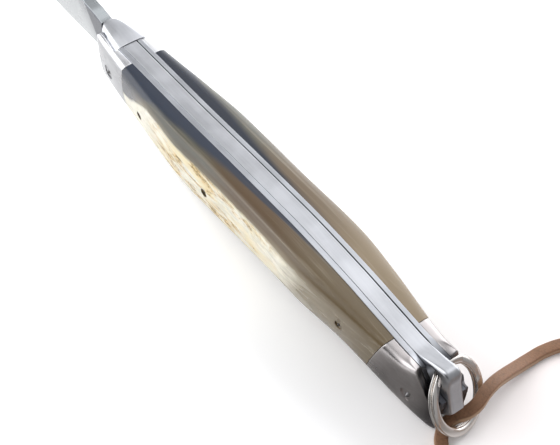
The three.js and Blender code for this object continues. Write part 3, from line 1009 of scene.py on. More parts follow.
@dataclass(frozen=True)
class HornFinish:
    """Polished horn, dark beside the liner and brown further out, with pale cracked bark on its side."""

    name: str
    dark: Point = (0.028, 0.036, 0.056)
    grey: Point = (0.090, 0.086, 0.066)
    brown: Point = (0.105, 0.066, 0.034)
    olive: Point = (0.130, 0.094, 0.050)
    pale: Point = (0.36, 0.31, 0.22)
    bark: Point = (0.93, 0.89, 0.76)
    honey: Point = (0.86, 0.74, 0.46)
    gold: Point = (0.74, 0.52, 0.20)
    crack: Point = (0.20, 0.115, 0.040)
    lip: float = 0.92
    seed: float = 0.0
    grain_scale: Point = (38.0, 300.0, 300.0)
    streak_scale: Point = (16.0, 1100.0, 800.0)
    coarse_scale: Point = (80.0, 220.0, 300.0)
    flake_scale: Point = (300.0, 700.0, 1000.0)
    vein_scale: Point = (95.0, 230.0, 340.0)
    patch_scale: Point = (70.0, 150.0, 200.0)
    wander: float = 0.36
    flake_shade: float = 0.62
    coat: float = 0.18
    coat_roughness: float = 0.16
    under_skin: float = 0.10
    under_skin_reach: Point = (0.004, 0.0025, 0.0012)
    relief: float = 2.4e-4

    def _polished(self, nodes: Nodes, vector: Socket, along: Socket,
                  outward: Socket) -> tuple[Socket, Socket]:
        """Colour the polished zone.

        Args:
            nodes: the material's node helper.
            vector: where its noise is read.
            along: how far along the scale a point is, from the rear.
            outward: how far it is from the liner.

        Returns:
            The zone's colour and its fine streaks.
        """
        grain = nodes.noise(vector, self.grain_scale, 3.0, 0.55, 0.5)
        streak = nodes.noise(vector, self.streak_scale, 3.0, 0.55, 0.2)
        wander = nodes.times(nodes.minus(grain, 0.5), self.wander)
        wavering = nodes.plus(outward, wander)

        # From the rear the horn goes from olive over brown to grey, with pale streaks
        rear = nodes.ramp(nodes.plus(along, nodes.times(wander, 0.4)), 0.16, 0.42)
        tone = nodes.mix(rear, self.olive, self.brown)
        tone = nodes.mix(nodes.ramp(nodes.plus(along, wander), 0.45, 0.72), tone, self.grey)
        tone = nodes.mix(nodes.ramp(streak, 0.52, 0.78, 0.0, 0.35), tone, self.pale)

        # Its dark core reaches further out towards the front, and a dark lip follows the liner
        reach = nodes.plus(nodes.ramp(along, 0.34, 0.96, 0.02, 0.66), nodes.ramp(along, 0.84, 0.98, 0.0, 0.9))
        core = nodes.ramp(nodes.minus(wavering, reach), 0.20, -0.12)
        core = nodes.times(core, nodes.ramp(along, 0.30, 0.52))
        lip_reach = nodes.ramp(along, 0.22, 0.55, 0.06, 0.26)
        lip = nodes.minus(nodes.plus(outward, nodes.times(wander, 0.25)), lip_reach)
        lip = nodes.times(nodes.ramp(lip, 0.07, -0.05, 0.0, self.lip), nodes.ramp(along, 0.16, 0.34))
        tone = nodes.mix(nodes.math("MAXIMUM", core, lip), tone, self.dark)

        # The shoulder is paler, where the bark is about to begin
        shoulder = nodes.times(nodes.ramp(wavering, 0.78, 1.15), nodes.ramp(along, 0.02, 0.35, 0.25, 1.0))
        shoulder = nodes.times(shoulder, nodes.ramp(along, 0.97, 0.86, 0.15, 1.0))
        return nodes.mix(nodes.times(shoulder, 0.7), tone, self.pale), streak

    def _shell(self, nodes: Nodes, vector: Socket, along: Socket,
               coarse: Socket, flakes: Socket) -> tuple[Socket, Socket]:
        """Colour the bark.

        Args:
            nodes: the material's node helper.
            vector: where its noise is read.
            along: how far along the scale a point is, from the rear.
            coarse: the bark's coarse noise.
            flakes: its fine noise.

        Returns:
            The bark's colour and its cracks.
        """
        veins = nodes.noise(nodes.stretch(vector, self.vein_scale, (0, 0, 0.25)), 1.0, 4.0, 0.62, 1.4)
        line = nodes.math("ABSOLUTE", nodes.minus(veins, 0.5))
        golden = nodes.times(nodes.ramp(coarse, 0.46, 0.60), nodes.ramp(along, 0.25, 0.5))
        golden = nodes.times(golden, nodes.ramp(along, 0.90, 0.76))
        shaded = tuple(c * self.flake_shade for c in self.bark)
        shell = nodes.mix(nodes.ramp(flakes, 0.60, 0.36, 0.0, 0.55), self.bark, shaded)
        patch = nodes.noise(vector, self.patch_scale, 2.0, 0.5, 0.4)
        patch = nodes.times(nodes.ramp(patch, 0.44, 0.62, 0.0, 0.75), nodes.ramp(along, 0.25, 0.45))
        shell = nodes.mix(nodes.times(patch, nodes.ramp(along, 0.90, 0.70)), shell, self.honey)
        shell = nodes.mix(nodes.times(nodes.ramp(line, 0.17, 0.01, 0.0, 0.85), golden), shell, self.gold)
        cracked = nodes.times(nodes.ramp(line, 0.022, 0.005), golden)
        return nodes.mix(nodes.times(cracked, 0.85), shell, self.crack), cracked

    def make(self) -> bpy.types.Material:
        """Build the material; the mesh carries how far along, how far out and how rough each point is.

        Returns:
            The material.
        """
        material, nodes, surface, place = new_material(self.name)
        along = nodes.attribute("along")
        shifted = nodes.tree.nodes.new("ShaderNodeVectorMath")
        shifted.operation = "ADD"
        shifted.inputs[1].default_value = (self.seed, self.seed * 0.7, -self.seed)
        nodes.link(place, shifted.inputs[0])
        vector = shifted.outputs[0]
        tone, streak = self._polished(nodes, vector, along, nodes.attribute("outward"))
        coarse = nodes.noise(vector, self.coarse_scale, 5.0, 0.62, 0.9)
        flakes = nodes.noise(vector, self.flake_scale, 5.0, 0.7, 0.6)
        edge = nodes.plus(nodes.attribute("bark"), nodes.times(nodes.minus(coarse, 0.5), 0.7))
        rough_zone = nodes.ramp(edge, 0.24, 0.66)
        shell, cracked = self._shell(nodes, vector, along, coarse, flakes)
        nodes.link(nodes.mix(rough_zone, tone, shell), surface.inputs["Base Color"])
        rough = nodes.plus(0.20, nodes.times(rough_zone, 0.30))
        nodes.link(nodes.plus(rough, nodes.times(streak, 0.10)), surface.inputs["Roughness"])
        for label, value in (("Coat Weight", self.coat), ("Coat Roughness", self.coat_roughness),
                             ("Subsurface Weight", self.under_skin), ("Subsurface Scale", 1.0),
                             ("Subsurface Radius", self.under_skin_reach)):
            surface.inputs[label].default_value = value
        relief = nodes.minus(nodes.plus(coarse, nodes.times(flakes, 0.4)), nodes.times(cracked, 0.7))
        relief = nodes.plus(nodes.times(relief, rough_zone), nodes.times(streak, 0.05))
        bump(nodes, surface, relief, self.relief, 0.9)
        return material


@dataclass(frozen=True)
class LeatherFinish:
    """Brown strap leather with a smooth face and paler cut edges."""

    name: str
    face: Point = (0.215, 0.105, 0.052)
    edge: Point = (0.42, 0.25, 0.14)
    cloud_scale: float = 240.0
    pore_scale: float = 2600.0
    pore_depth: float = 1.2e-4
    cloud_shade: float = 0.72
    pore_shine: float = 1.5
    sheen: float = 0.15

    def make(self, effects: Effects) -> bpy.types.Material:
        """Build the material; the mesh carries where its cut edges are.

        Args:
            effects: the shared shader groups.

        Returns:
            The material.
        """
        material, nodes, surface, place = new_material(self.name)
        pores = nodes.noise(place, self.pore_scale, 4.0, 0.6)
        cloud = nodes.group(effects.cloud, place, Scale=self.cloud_scale)["Value"]
        tone = nodes.mix(cloud, tuple(c * self.cloud_shade for c in self.face), self.face)
        bright = tuple(c * self.pore_shine for c in self.face)
        tone = nodes.mix(nodes.ramp(pores, 0.35, 0.6, 0.0, 0.35), tone, bright)
        nodes.link(nodes.mix(nodes.attribute("cut_edge"), tone, self.edge), surface.inputs["Base Color"])
        nodes.link(nodes.plus(0.42, nodes.times(pores, 0.25)), surface.inputs["Roughness"])
        surface.inputs["Sheen Weight"].default_value = self.sheen
        bump(nodes, surface, pores, self.pore_depth, 0.6)
        return material


ALONG = (60.0, 2600.0, 2600.0)
POLISHED = (300.0, 900.0, 1500.0)
GROUND = (3000.0, 60.0, 260.0)
TURNED = (900.0, 900.0, 900.0)
WOUND = (700.0, 700.0, 700.0)
# Painted shade: the steel deep in the ring's mouth is darkened to about a quarter, for the shade in that
# recess.
PAINTED_CREVICE_SHADE = ("crevice", (0.25, 0.25, 0.26))

SPRING_STEEL = SteelFinish(
    "spring_steel", (0.61, 0.62, 0.65), roughness=0.27, lines=ALONG, line_depth=1.2e-6, mottling=0.10,
    anisotropy=0.3)
# The head is the spring's steel with a painted highlight: its left flank half again as bright, its right
# flank a little brighter.
HEAD_STEEL_PAINTED_HIGHLIGHT = replace(
    SPRING_STEEL, name="head_steel", marks=(("left", (1.5, 1.5, 1.48)), ("right", (1.05, 1.05, 1.05))))
LINER_STEEL = SteelFinish(
    "liner_steel", (0.54, 0.555, 0.59), roughness=0.25, lines=ALONG, line_depth=1.5e-6, scratch=0.3,
    mottling=0.10, marks=(PAINTED_CREVICE_SHADE,))
# Painted highlight: the front bolsters' colour is brightened 2.3 times along their upper edge.
FRONT_BOLSTER_STEEL = SteelFinish(
    "front_bolster_steel", (0.43, 0.43, 0.44), roughness=0.24, lines=POLISHED, line_depth=1.0e-6, scratch=0.9,
    mottling=0.10, marks=(("crown", (2.3, 2.3, 2.3)),))
REAR_BOLSTER_STEEL = SteelFinish(
    "rear_bolster_steel", (0.59, 0.55, 0.54), roughness=0.22, lines=POLISHED, line_depth=1.0e-6, scratch=0.9,
    mottling=0.12, marks=(PAINTED_CREVICE_SHADE,))
# The blade's marks paint light and shade: the ricasso and the start of the grind darker, as painted dark
# reflection and shade in the plunge's hollow, and the spine lighter, as a painted highlight.
BLADE_STEEL = SteelFinish(
    "blade_steel", (0.385, 0.395, 0.40), roughness=0.20, lines=GROUND, line_depth=0.8e-6, scratch=0.25,
    mottling=0.06, anisotropy=0.3,
    marks=(("ricasso", (0.62, 0.62, 0.64)), ("spine", (1.18, 1.22, 1.24)),
           ("grind_start", (0.66, 0.66, 0.68))))
PIN_STEEL = SteelFinish(
    "pin_steel", (0.20, 0.195, 0.195), roughness=0.40, lines=TURNED, line_depth=1.5e-6, scratch=0.8,
    mottling=0.15)
HORN_PIN_STEEL = replace(PIN_STEEL, name="horn_pin_steel", colour=(0.075, 0.07, 0.065), roughness=0.5)
NICKEL = SteelFinish(
    "nickel", (0.84, 0.80, 0.76), roughness=0.11, lines=WOUND, line_depth=0.4e-6, scratch=0.25, mottling=0.05)
HORN = {
    Side.LEFT: HornFinish("horn_left", seed=0.013),
    Side.RIGHT: HornFinish("horn_right", dark=(0.012, 0.017, 0.030), brown=(0.145, 0.102, 0.060),
                           olive=(0.24, 0.180, 0.108), lip=0.25, seed=0.171),
}
LEATHER = LeatherFinish("leather")


@dataclass
class Finishes:
    """Every material of the knife."""

    effects: Effects = field(default_factory=Effects)

    def __post_init__(self) -> None:
        """Build the materials."""
        self.spring = SPRING_STEEL.make(self.effects)
        self.head = HEAD_STEEL_PAINTED_HIGHLIGHT.make(self.effects)
        self.liner = LINER_STEEL.make(self.effects)
        self.front_bolster = FRONT_BOLSTER_STEEL.make(self.effects)
        self.rear_bolster = REAR_BOLSTER_STEEL.make(self.effects)
        self.blade = BLADE_STEEL.make(self.effects)
        self.pin = PIN_STEEL.make(self.effects)
        self.horn_pin = HORN_PIN_STEEL.make(self.effects)
        self.nickel = NICKEL.make(self.effects)
        self.horn = {side: finish.make() for side, finish in HORN.items()}
        self.leather = LEATHER.make(self.effects)


# Shapes that follow a rule


class ShapeTree:
    """A Geometry Nodes tree with named inputs, whose result becomes a plain mesh."""

    def __init__(self, name: str, inputs: Sequence[tuple[str, str]]) -> None:
        """Create the tree.

        Args:
            name: the tree's name.
            inputs: the name and socket type of each input besides Steps, Sides and Finish.
        """
        self.tree = bpy.data.node_groups.new(name, "GeometryNodeTree")
        shared = (("Steps", WHOLE), ("Sides", WHOLE), ("Finish", "NodeSocketMaterial"))
        for label, kind in (("Geometry", "NodeSocketGeometry"), *inputs, *shared):
            self.tree.interface.new_socket(label, in_out="INPUT", socket_type=kind)
        self.tree.interface.new_socket("Geometry", in_out="OUTPUT", socket_type="NodeSocketGeometry")
        self.nodes = Nodes(self.tree)
        self.given = self.tree.nodes.new("NodeGroupInput").outputs

    def step(self, kind: str, *inputs: tuple[str, object], **settings: object) -> Socket:
        """Add a node and give it what it takes.

        Args:
            kind: the node's type.
            inputs: pairs of an input's name and the socket or value that feeds it.
            settings: properties of the node.

        Returns:
            The node's first output.
        """
        node = self.tree.nodes.new(kind)
        for key, value in settings.items():
            setattr(node, key, value)
        for label, source in inputs:
            self.nodes.feed(node.inputs[label], source)
        return node.outputs[0]

    def point(self, x: object, y: object, z: object) -> Socket:
        """Make a vector from three values."""
        return self.step("ShaderNodeCombineXYZ", ("X", x), ("Y", y), ("Z", z))

    def path(self, place: Socket) -> Socket:
        """Draw a line of as many points as Steps says.

        Args:
            place: where each point goes.

        Returns:
            The line.
        """
        line = self.step("GeometryNodeCurvePrimitiveLine")
        line = self.step("GeometryNodeResampleCurve", ("Curve", line), ("Count", self.given["Steps"]))
        return self.step("GeometryNodeSetPosition", ("Geometry", line), ("Position", place))

    def round_section(self) -> Socket:
        """Draw a circle of as many points as Sides says."""
        return self.step("GeometryNodeCurvePrimitiveCircle", ("Resolution", self.given["Sides"]))

    def close(self, geometry: Socket) -> None:
        """End the tree in plain geometry with its finish.

        Args:
            geometry: what the tree has made.
        """
        plain = self.step("GeometryNodeRealizeInstances", ("Geometry", geometry))
        finish = self.given["Finish"]
        dressed = self.step("GeometryNodeSetMaterial", ("Geometry", plain), ("Material", finish))
        self.nodes.link(dressed, self.tree.nodes.new("NodeGroupOutput").inputs["Geometry"])

    def grow(self, name: str, values: dict[str, object], points: Sequence[Vector] = (),
             marks: dict[str, Sequence[float]] | None = None) -> Piece:
        """Run the tree and keep what it makes as a plain mesh object.

        Args:
            name: the object's name.
            values: the tree's inputs by name.
            points: where it starts from, in metres.
            marks: numbers that the points carry.

        Returns:
            The object, at the row's origin.
        """
        mesh = bpy.data.meshes.new(name)
        mesh.from_pydata([tuple(p) for p in points], [], [])
        for label, numbers in (marks or {}).items():
            mesh.attributes.new(label, "FLOAT", "POINT").data.foreach_set("value", list(numbers))
        made = linked(name, mesh)
        modifier = made.modifiers.new("shape", "NODES")
        modifier.node_group = self.tree
        for item in self.tree.interface.items_tree:
            if item.in_out == "INPUT" and item.name in values:
                modifier[item.identifier] = values[item.name]
        apply_modifiers(made)
        return made


def coil_tree() -> ShapeTree:
    """Build the tree of a wire that winds about the X axis and steps aside once.

    Returns:
        The tree, which takes the coil's radius and wire in metres, its turns and its start in radians.
    """
    shape = ShapeTree("wound_wire", [(label, FLOAT) for label in ("Radius", "Wire", "Turns", "Start")])
    nodes, given = shape.nodes, shape.given
    turn = nodes.times(shape.step("GeometryNodeSplineParameter"), given["Turns"])
    angle = nodes.plus(nodes.times(turn, 2 * math.pi), given["Start"])
    aside = nodes.times(nodes.ramp(turn, 0.88, 1.08, -0.5, 0.5), given["Wire"])
    sine, cosine = nodes.math("SINE", angle), nodes.math("COSINE", angle)
    place = shape.point(aside, nodes.times(sine, given["Radius"]),
                        nodes.times(nodes.minus(cosine, 1.0), given["Radius"]))
    path = shape.step("GeometryNodeSetCurveNormal", ("Curve", shape.path(place)),
                      ("Normal", shape.point(0.0, sine, cosine)), mode="FREE")
    high, wide = nodes.times(given["Wire"], 0.97), nodes.times(given["Wire"], 0.49)
    section = shape.step("GeometryNodeTransform", ("Geometry", shape.round_section()),
                         ("Scale", shape.point(high, wide, 1.0)))
    shape.close(shape.step("GeometryNodeCurveToMesh", ("Curve", path), ("Profile Curve", section),
                           ("Fill Caps", True)))
    return shape


def pin_tree() -> ShapeTree:
    """Build the tree that sets a peened pin with two low domes on every point.

    Returns:
        The tree, which takes the dome's height as a share of the length; the points carry radius and length.
    """
    shape = ShapeTree("peened_pins", [("Dome", FLOAT)])
    nodes = shape.nodes
    share = shape.step("GeometryNodeSplineParameter")
    from_end = nodes.math("MINIMUM", share, nodes.minus(1.0, share))
    bend = nodes.ramp(from_end, 0.0, 0.3, 0.02, math.pi / 2)
    rise = nodes.times(shape.given["Dome"], nodes.minus(1.0, nodes.math("COSINE", bend)))
    side = nodes.ramp(share, 0.3, 0.7, -1.0, 1.0)
    path = shape.path(shape.point(0.0, nodes.times(side, nodes.minus(0.5, rise)), 0.0))
    body = shape.step("GeometryNodeCurveToMesh", ("Curve", path), ("Profile Curve", shape.round_section()),
                      ("Scale", nodes.math("SINE", bend)), ("Fill Caps", True))
    radius, length = (shape.step("GeometryNodeInputNamedAttribute", ("Name", label))
                      for label in ("radius", "length"))
    shape.close(shape.step("GeometryNodeInstanceOnPoints", ("Points", shape.given["Geometry"]),
                           ("Instance", body), ("Scale", shape.point(radius, length, radius))))
    return shape


# Handle


@dataclass
class SidePieces:
    """The scale, bolsters and liner of one side of the handle."""

    side: Side
    finishes: Finishes
    samples: int = 16
    bark_depth: float = 0.16
    bark_seed: Point = (7.3, 2.1, 5.7)
    pin_seam: float = 0.12
    horn_seam_depth: float = 0.6
    bolster_seam_depth: float = 0.75
    front_grain: float = 0.11
    front_rubs: int = 22
    rear_grain: float = 0.12
    rear_rubs: int = 12
    liner_round: float = 0.06
    mouth_width: float = 3.2
    overlap: float = 1.0
    above: float = 2.0
    beyond: float = 26.0

    @property
    def word(self) -> str:
        """The side's name, with which its nodes begin."""
        return self.side.word

    def _loft(self, name: str, stations: Sequence[float], lean: Callable[[float], float],
              shift: float) -> Piece:
        """Make a solid of this side's sections.

        Args:
            name: the object's name.
            stations: where the sections are.
            lean: how far a section leans, by its place.
            shift: how far the solid is moved forward.

        Returns:
            The solid.
        """
        return loft(name, [
            [(x - lean(x) * (z - SHAPE.back(x)) + shift, self.side.value * y, z)
             for y, z in SHAPE.side_outline(x, self.samples)] for x in stations])

    @staticmethod
    def _along(x: float) -> float:
        """How far along the scale a point is, from 0 at the rear to 1 in front."""
        return (x - SHAPE.rear_bolster) / (SHAPE.front_seam - SHAPE.rear_bolster)

    @staticmethod
    def _out(x: float, y: float) -> float:
        """How far from the liner a point is, from 0 to 1 at the widest."""
        return (abs(y) - SHAPE.inner) / max(0.3, SHAPE.half_width(x) - SHAPE.inner)

    @staticmethod
    def _down(x: float, z: float) -> float:
        """How far below the back a point is, from 0 to 1 at the belly."""
        return (SHAPE.back(x) - z) / (SHAPE.back(x) - SHAPE.belly(x))

    def _bark(self, x: float, y: float, z: float) -> float:
        """Say how much bark is left on the horn.

        Args:
            x: a point's place along the handle.
            y: its place across it.
            z: its height.

        Returns:
            0 where the horn is polished and 1 where the bark is whole.
        """
        along, down = self._along(x), self._down(x, z)
        begin = 0.55 - 0.25 * smoothstep(0.55, 0.80, along)
        low = 0.34 * smoothstep(0.86, 1.0, along)
        rough = smoothstep(begin, begin + 0.4, self._out(x, y)) * smoothstep(1.0, 0.86, down)
        return rough * smoothstep(0.06 + low, 0.24 + low, down)

    def _roughen(self, horn: Piece) -> None:
        """Wear dents into the bark, away from the scale's ends.

        Args:
            horn: the scale.
        """
        rear, front = SHAPE.rear_bolster, SHAPE.front_seam
        seed = Vector(self.bark_seed) * (1 if self.side is Side.LEFT else 2.7)
        for vert in horn.data.vertices:
            x, y, z = FRAME.find(vert.co)
            if self._out(x, y) > 0.05:
                ends = smoothstep(rear + 0.4, rear + 3, x) * smoothstep(front, front - 3, x)
                dent = 0.5 + 0.5 * mnoise.fractal(Vector((x * 0.16, y * 0.35, z * 0.42)) + seed, 0.9, 2.1, 4)
                depth = self.side.value * self.bark_depth * dent * self._bark(x, y, z) * ends
                vert.co.y -= depth / 1000.0

    def scale(self) -> Piece:
        """Make the horn scale, its outer side roughened.

        Returns:
            The scale.
        """
        rear, front = SHAPE.rear_bolster, SHAPE.front_seam
        lean = smooth_curve(((0, SHAPE.rear_lean), (0.5, 0), (1, 0)), front - rear, rear)
        made = self._loft(f"{self.word}_horn", spread(rear, front, 230), lean, 0.0)
        mark(made, "along", lambda x, y, z: self._along(x))
        mark(made, "bark", lambda x, y, z: self._bark(x, y, z) * (
            0.25 + 0.75 * smoothstep(0.16, 0.5, self._along(x))))
        mark(made, "outward", lambda x, y, z: self._out(x, y) + 1.6 * max(0.0, self._down(x, z) - 0.12))
        self._roughen(made)
        for where in PIN_PLACES:
            self._seat(made, f"{self.word}_scale_pin_{where}", self.pin_seam, self.horn_seam_depth)
        shade(made, 50)
        return finish_piece(made, "handle", "horn", self.finishes.horn[self.side], f"{self.word}_scale")

    def _cuts(self, body: Piece) -> None:
        """Open a piece of the butt for the ring: its mouth, the cut corner and the falling inner edge.

        Args:
            body: the liner or the rear bolster.
        """
        boolean(body, self._scoop())
        way, near, far = self.side.value, SHAPE.spring_width / 2, SHAPE.inner + SHAPE.dip_width
        low, high = sorted((way * (near - self.overlap), way * self.beyond))
        boolean(body, plate("corner", SHAPE.open_corner, low, high))
        rings = []
        for x in spread(SHAPE.dip_start, SHAPE.dip_end, 24):
            top = SHAPE.back(x)
            share = (SHAPE.dip_start - x) / (SHAPE.dip_start - SHAPE.open_corner[1][0])
            deep = SHAPE.dip_depth * share**1.4
            section = ((near - self.overlap, top - deep - 0.3), (near, top - deep), (far, top + 0.05),
                       (far, top + self.above), (near - self.overlap, top + self.above))
            rings.append([(x, way * y, z) for y, z in section])
        boolean(body, loft("dip", rings))
        keep_largest(body)

    @staticmethod
    def _mark_crevice(body: Piece) -> None:
        """Paint shade into the ring's mouth: note how deep in it each point lies, for the steel's colour to
        be darkened there.
        """
        mark(body, "crevice", lambda x, y, z: smoothstep(2.3, 1.0, abs(y) - SHAPE.inner)
             * smoothstep(7.5, 5.0, x) * smoothstep(-2.0, -3.6, z))

    def _boundary(self) -> Piece:
        """Make the full outline a solid that trims the bolsters."""
        low, high = sorted((0.0, self.side.value * 20.0))
        return plate("trim", SHAPE.outline(SHAPE.bolster_foot), low, high)

    @staticmethod
    def _notch() -> Piece:
        """Make the room for the spring's head.

        Returns:
            The solid that cuts it.
        """
        gap = HEAD.wing_gap / 2
        edge = [(HEAD.rear - HEAD.wing_gap, HEAD.half_width + gap)]
        edge += [(x, HEAD.plan(x) + gap) for x in spread(HEAD.rear, HEAD.front + 2, 30)]
        outline = edge + [(x, -y) for x, y in reversed(edge)]
        return loft("notch", [[(x, y, z) for x, y in outline] for z in (-HEAD.wing_depth - 0.05, 4)])

    def _scoop(self) -> Piece:
        """Make the mouths that leave the ring room on both sides of the tail.

        Returns:
            The solid that cuts them.
        """
        outs = [SHAPE.spring_width / 2, *spread(SHAPE.inner, SHAPE.inner + self.mouth_width, 12)]
        rings: list[list[Point]] = []
        for way in (-1, 1):
            rooms = [room for room in (RING.room(way * out) for out in outs) if room]
            rooms.append([(x, way * self.beyond, z) for x, _, z in rooms[-1]])
            rings += rooms[::-1] if way < 0 else rooms
        return loft("scoop", rings)

    def _seat(self, body: Piece, pin: str, width: float, depth: float) -> None:
        """Cut the fine seam round a pin's end.

        Args:
            body: the piece that the pin comes out of.
            pin: the pin's node.
            width: the seam's width in mm.
            depth: how far it goes below the pin's end, in mm.
        """
        low, high = (FRAME.find(corner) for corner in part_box(pin))
        end = high[1] if self.side is Side.LEFT else low[1]
        middle_x, middle_z = (low[0] + high[0]) / 2, (low[2] + high[2]) / 2
        rim = circle((high[2] - low[2]) / 2 + width, 40)
        boolean(body, loft("seat", [
            [(middle_x + u, y, middle_z + w) for u, w in rim]
            for y in (end - self.side.value * depth, end + self.side.value * self.above)]))

    @staticmethod
    def _fall() -> Piece:
        """Make the cut that lowers the right bolster's wall beside the head, more on the outside.

        Returns:
            The solid that cuts it.
        """
        near, far = HEAD.half_width - 2.5, 9.0
        return loft("fall", [
            [(x, -y, SHAPE.back(x) + z) for y, z in ((near, -0.35), (near, 2), (far, 2), (far, outer))]
            for x, outer in ((HEAD.rear + 0.05, -1.3), (HEAD.front + 1, -1.8))])

    def front_bolster(self) -> Piece:
        """Make the front bolster, notched for the head, with a highlight painted along its upper edge.

        Returns:
            The bolster.
        """
        nose = SHAPE.handle_length
        stations = [*spread(SHAPE.front_seam, nose - 1.5, 40), *spread(nose - 1.4, nose + 0.3, 12)]
        made = self._loft(f"{self.word}_front_cap", stations, lambda x: 0.0, SHAPE.seam_gap)
        boolean(made, self._boundary(), "INTERSECT")
        boolean(made, self._notch())
        if self.side is Side.RIGHT:
            boolean(made, self._fall())
        keep_largest(made)
        polish(made, self.front_grain, self.front_rubs)
        self._seat(made, "pivot_pin", Pins.spread + self.pin_seam, self.bolster_seam_depth)
        # Painted highlight: a number that brightens the colour near the upper edge.
        mark(made, "crown", lambda x, y, z: smoothstep(1.3, 0.3, SHAPE.back(x) - z))
        return finish_piece(made, "handle", "bolster_steel", self.finishes.front_bolster,
                            f"{self.word}_front_bolster")

    def rear_bolster(self) -> Piece:
        """Make the rear bolster, dished around the ring's hole.

        Returns:
            The bolster.
        """
        lean = smooth_curve(((0, 0), (1, SHAPE.rear_lean)), SHAPE.rear_bolster)
        stations = spread(-SHAPE.butt_reach - 0.4, SHAPE.rear_bolster, 64)
        made = self._loft(f"{self.word}_rear_cap", stations, lean, -SHAPE.seam_gap)
        boolean(made, self._boundary(), "INTERSECT")
        self._cuts(made)
        polish(made, self.rear_grain, self.rear_rubs)
        self._seat(made, "rear_pin", Pins.spread + self.pin_seam, self.bolster_seam_depth)
        self._mark_crevice(made)
        return finish_piece(made, "handle", "bolster_steel", self.finishes.rear_bolster,
                            f"{self.word}_rear_bolster")

    def liner(self) -> Piece:
        """Make the liner between the scale and the spring.

        Returns:
            The liner.
        """
        gap = SHAPE.gap_left if self.side is Side.LEFT else SHAPE.gap_right
        slot = SHAPE.spring_width / 2 + gap
        low, high = sorted((self.side.value * slot, self.side.value * SHAPE.inner))
        made = rounded_plate(f"{self.word}_liner_plate", SHAPE.outline(SHAPE.liner_foot), low, high,
                             lambda x, z: self.liner_round, 3)
        boolean(made, self._notch())
        self._cuts(made)
        self._mark_crevice(made)
        shade(made, 35)
        return finish_piece(made, "handle", "spring_steel", self.finishes.liner, f"{self.word}_liner")

    def build(self) -> None:
        """Make this side's pieces."""
        self.liner()
        self.front_bolster()
        self.rear_bolster()
        self.scale()


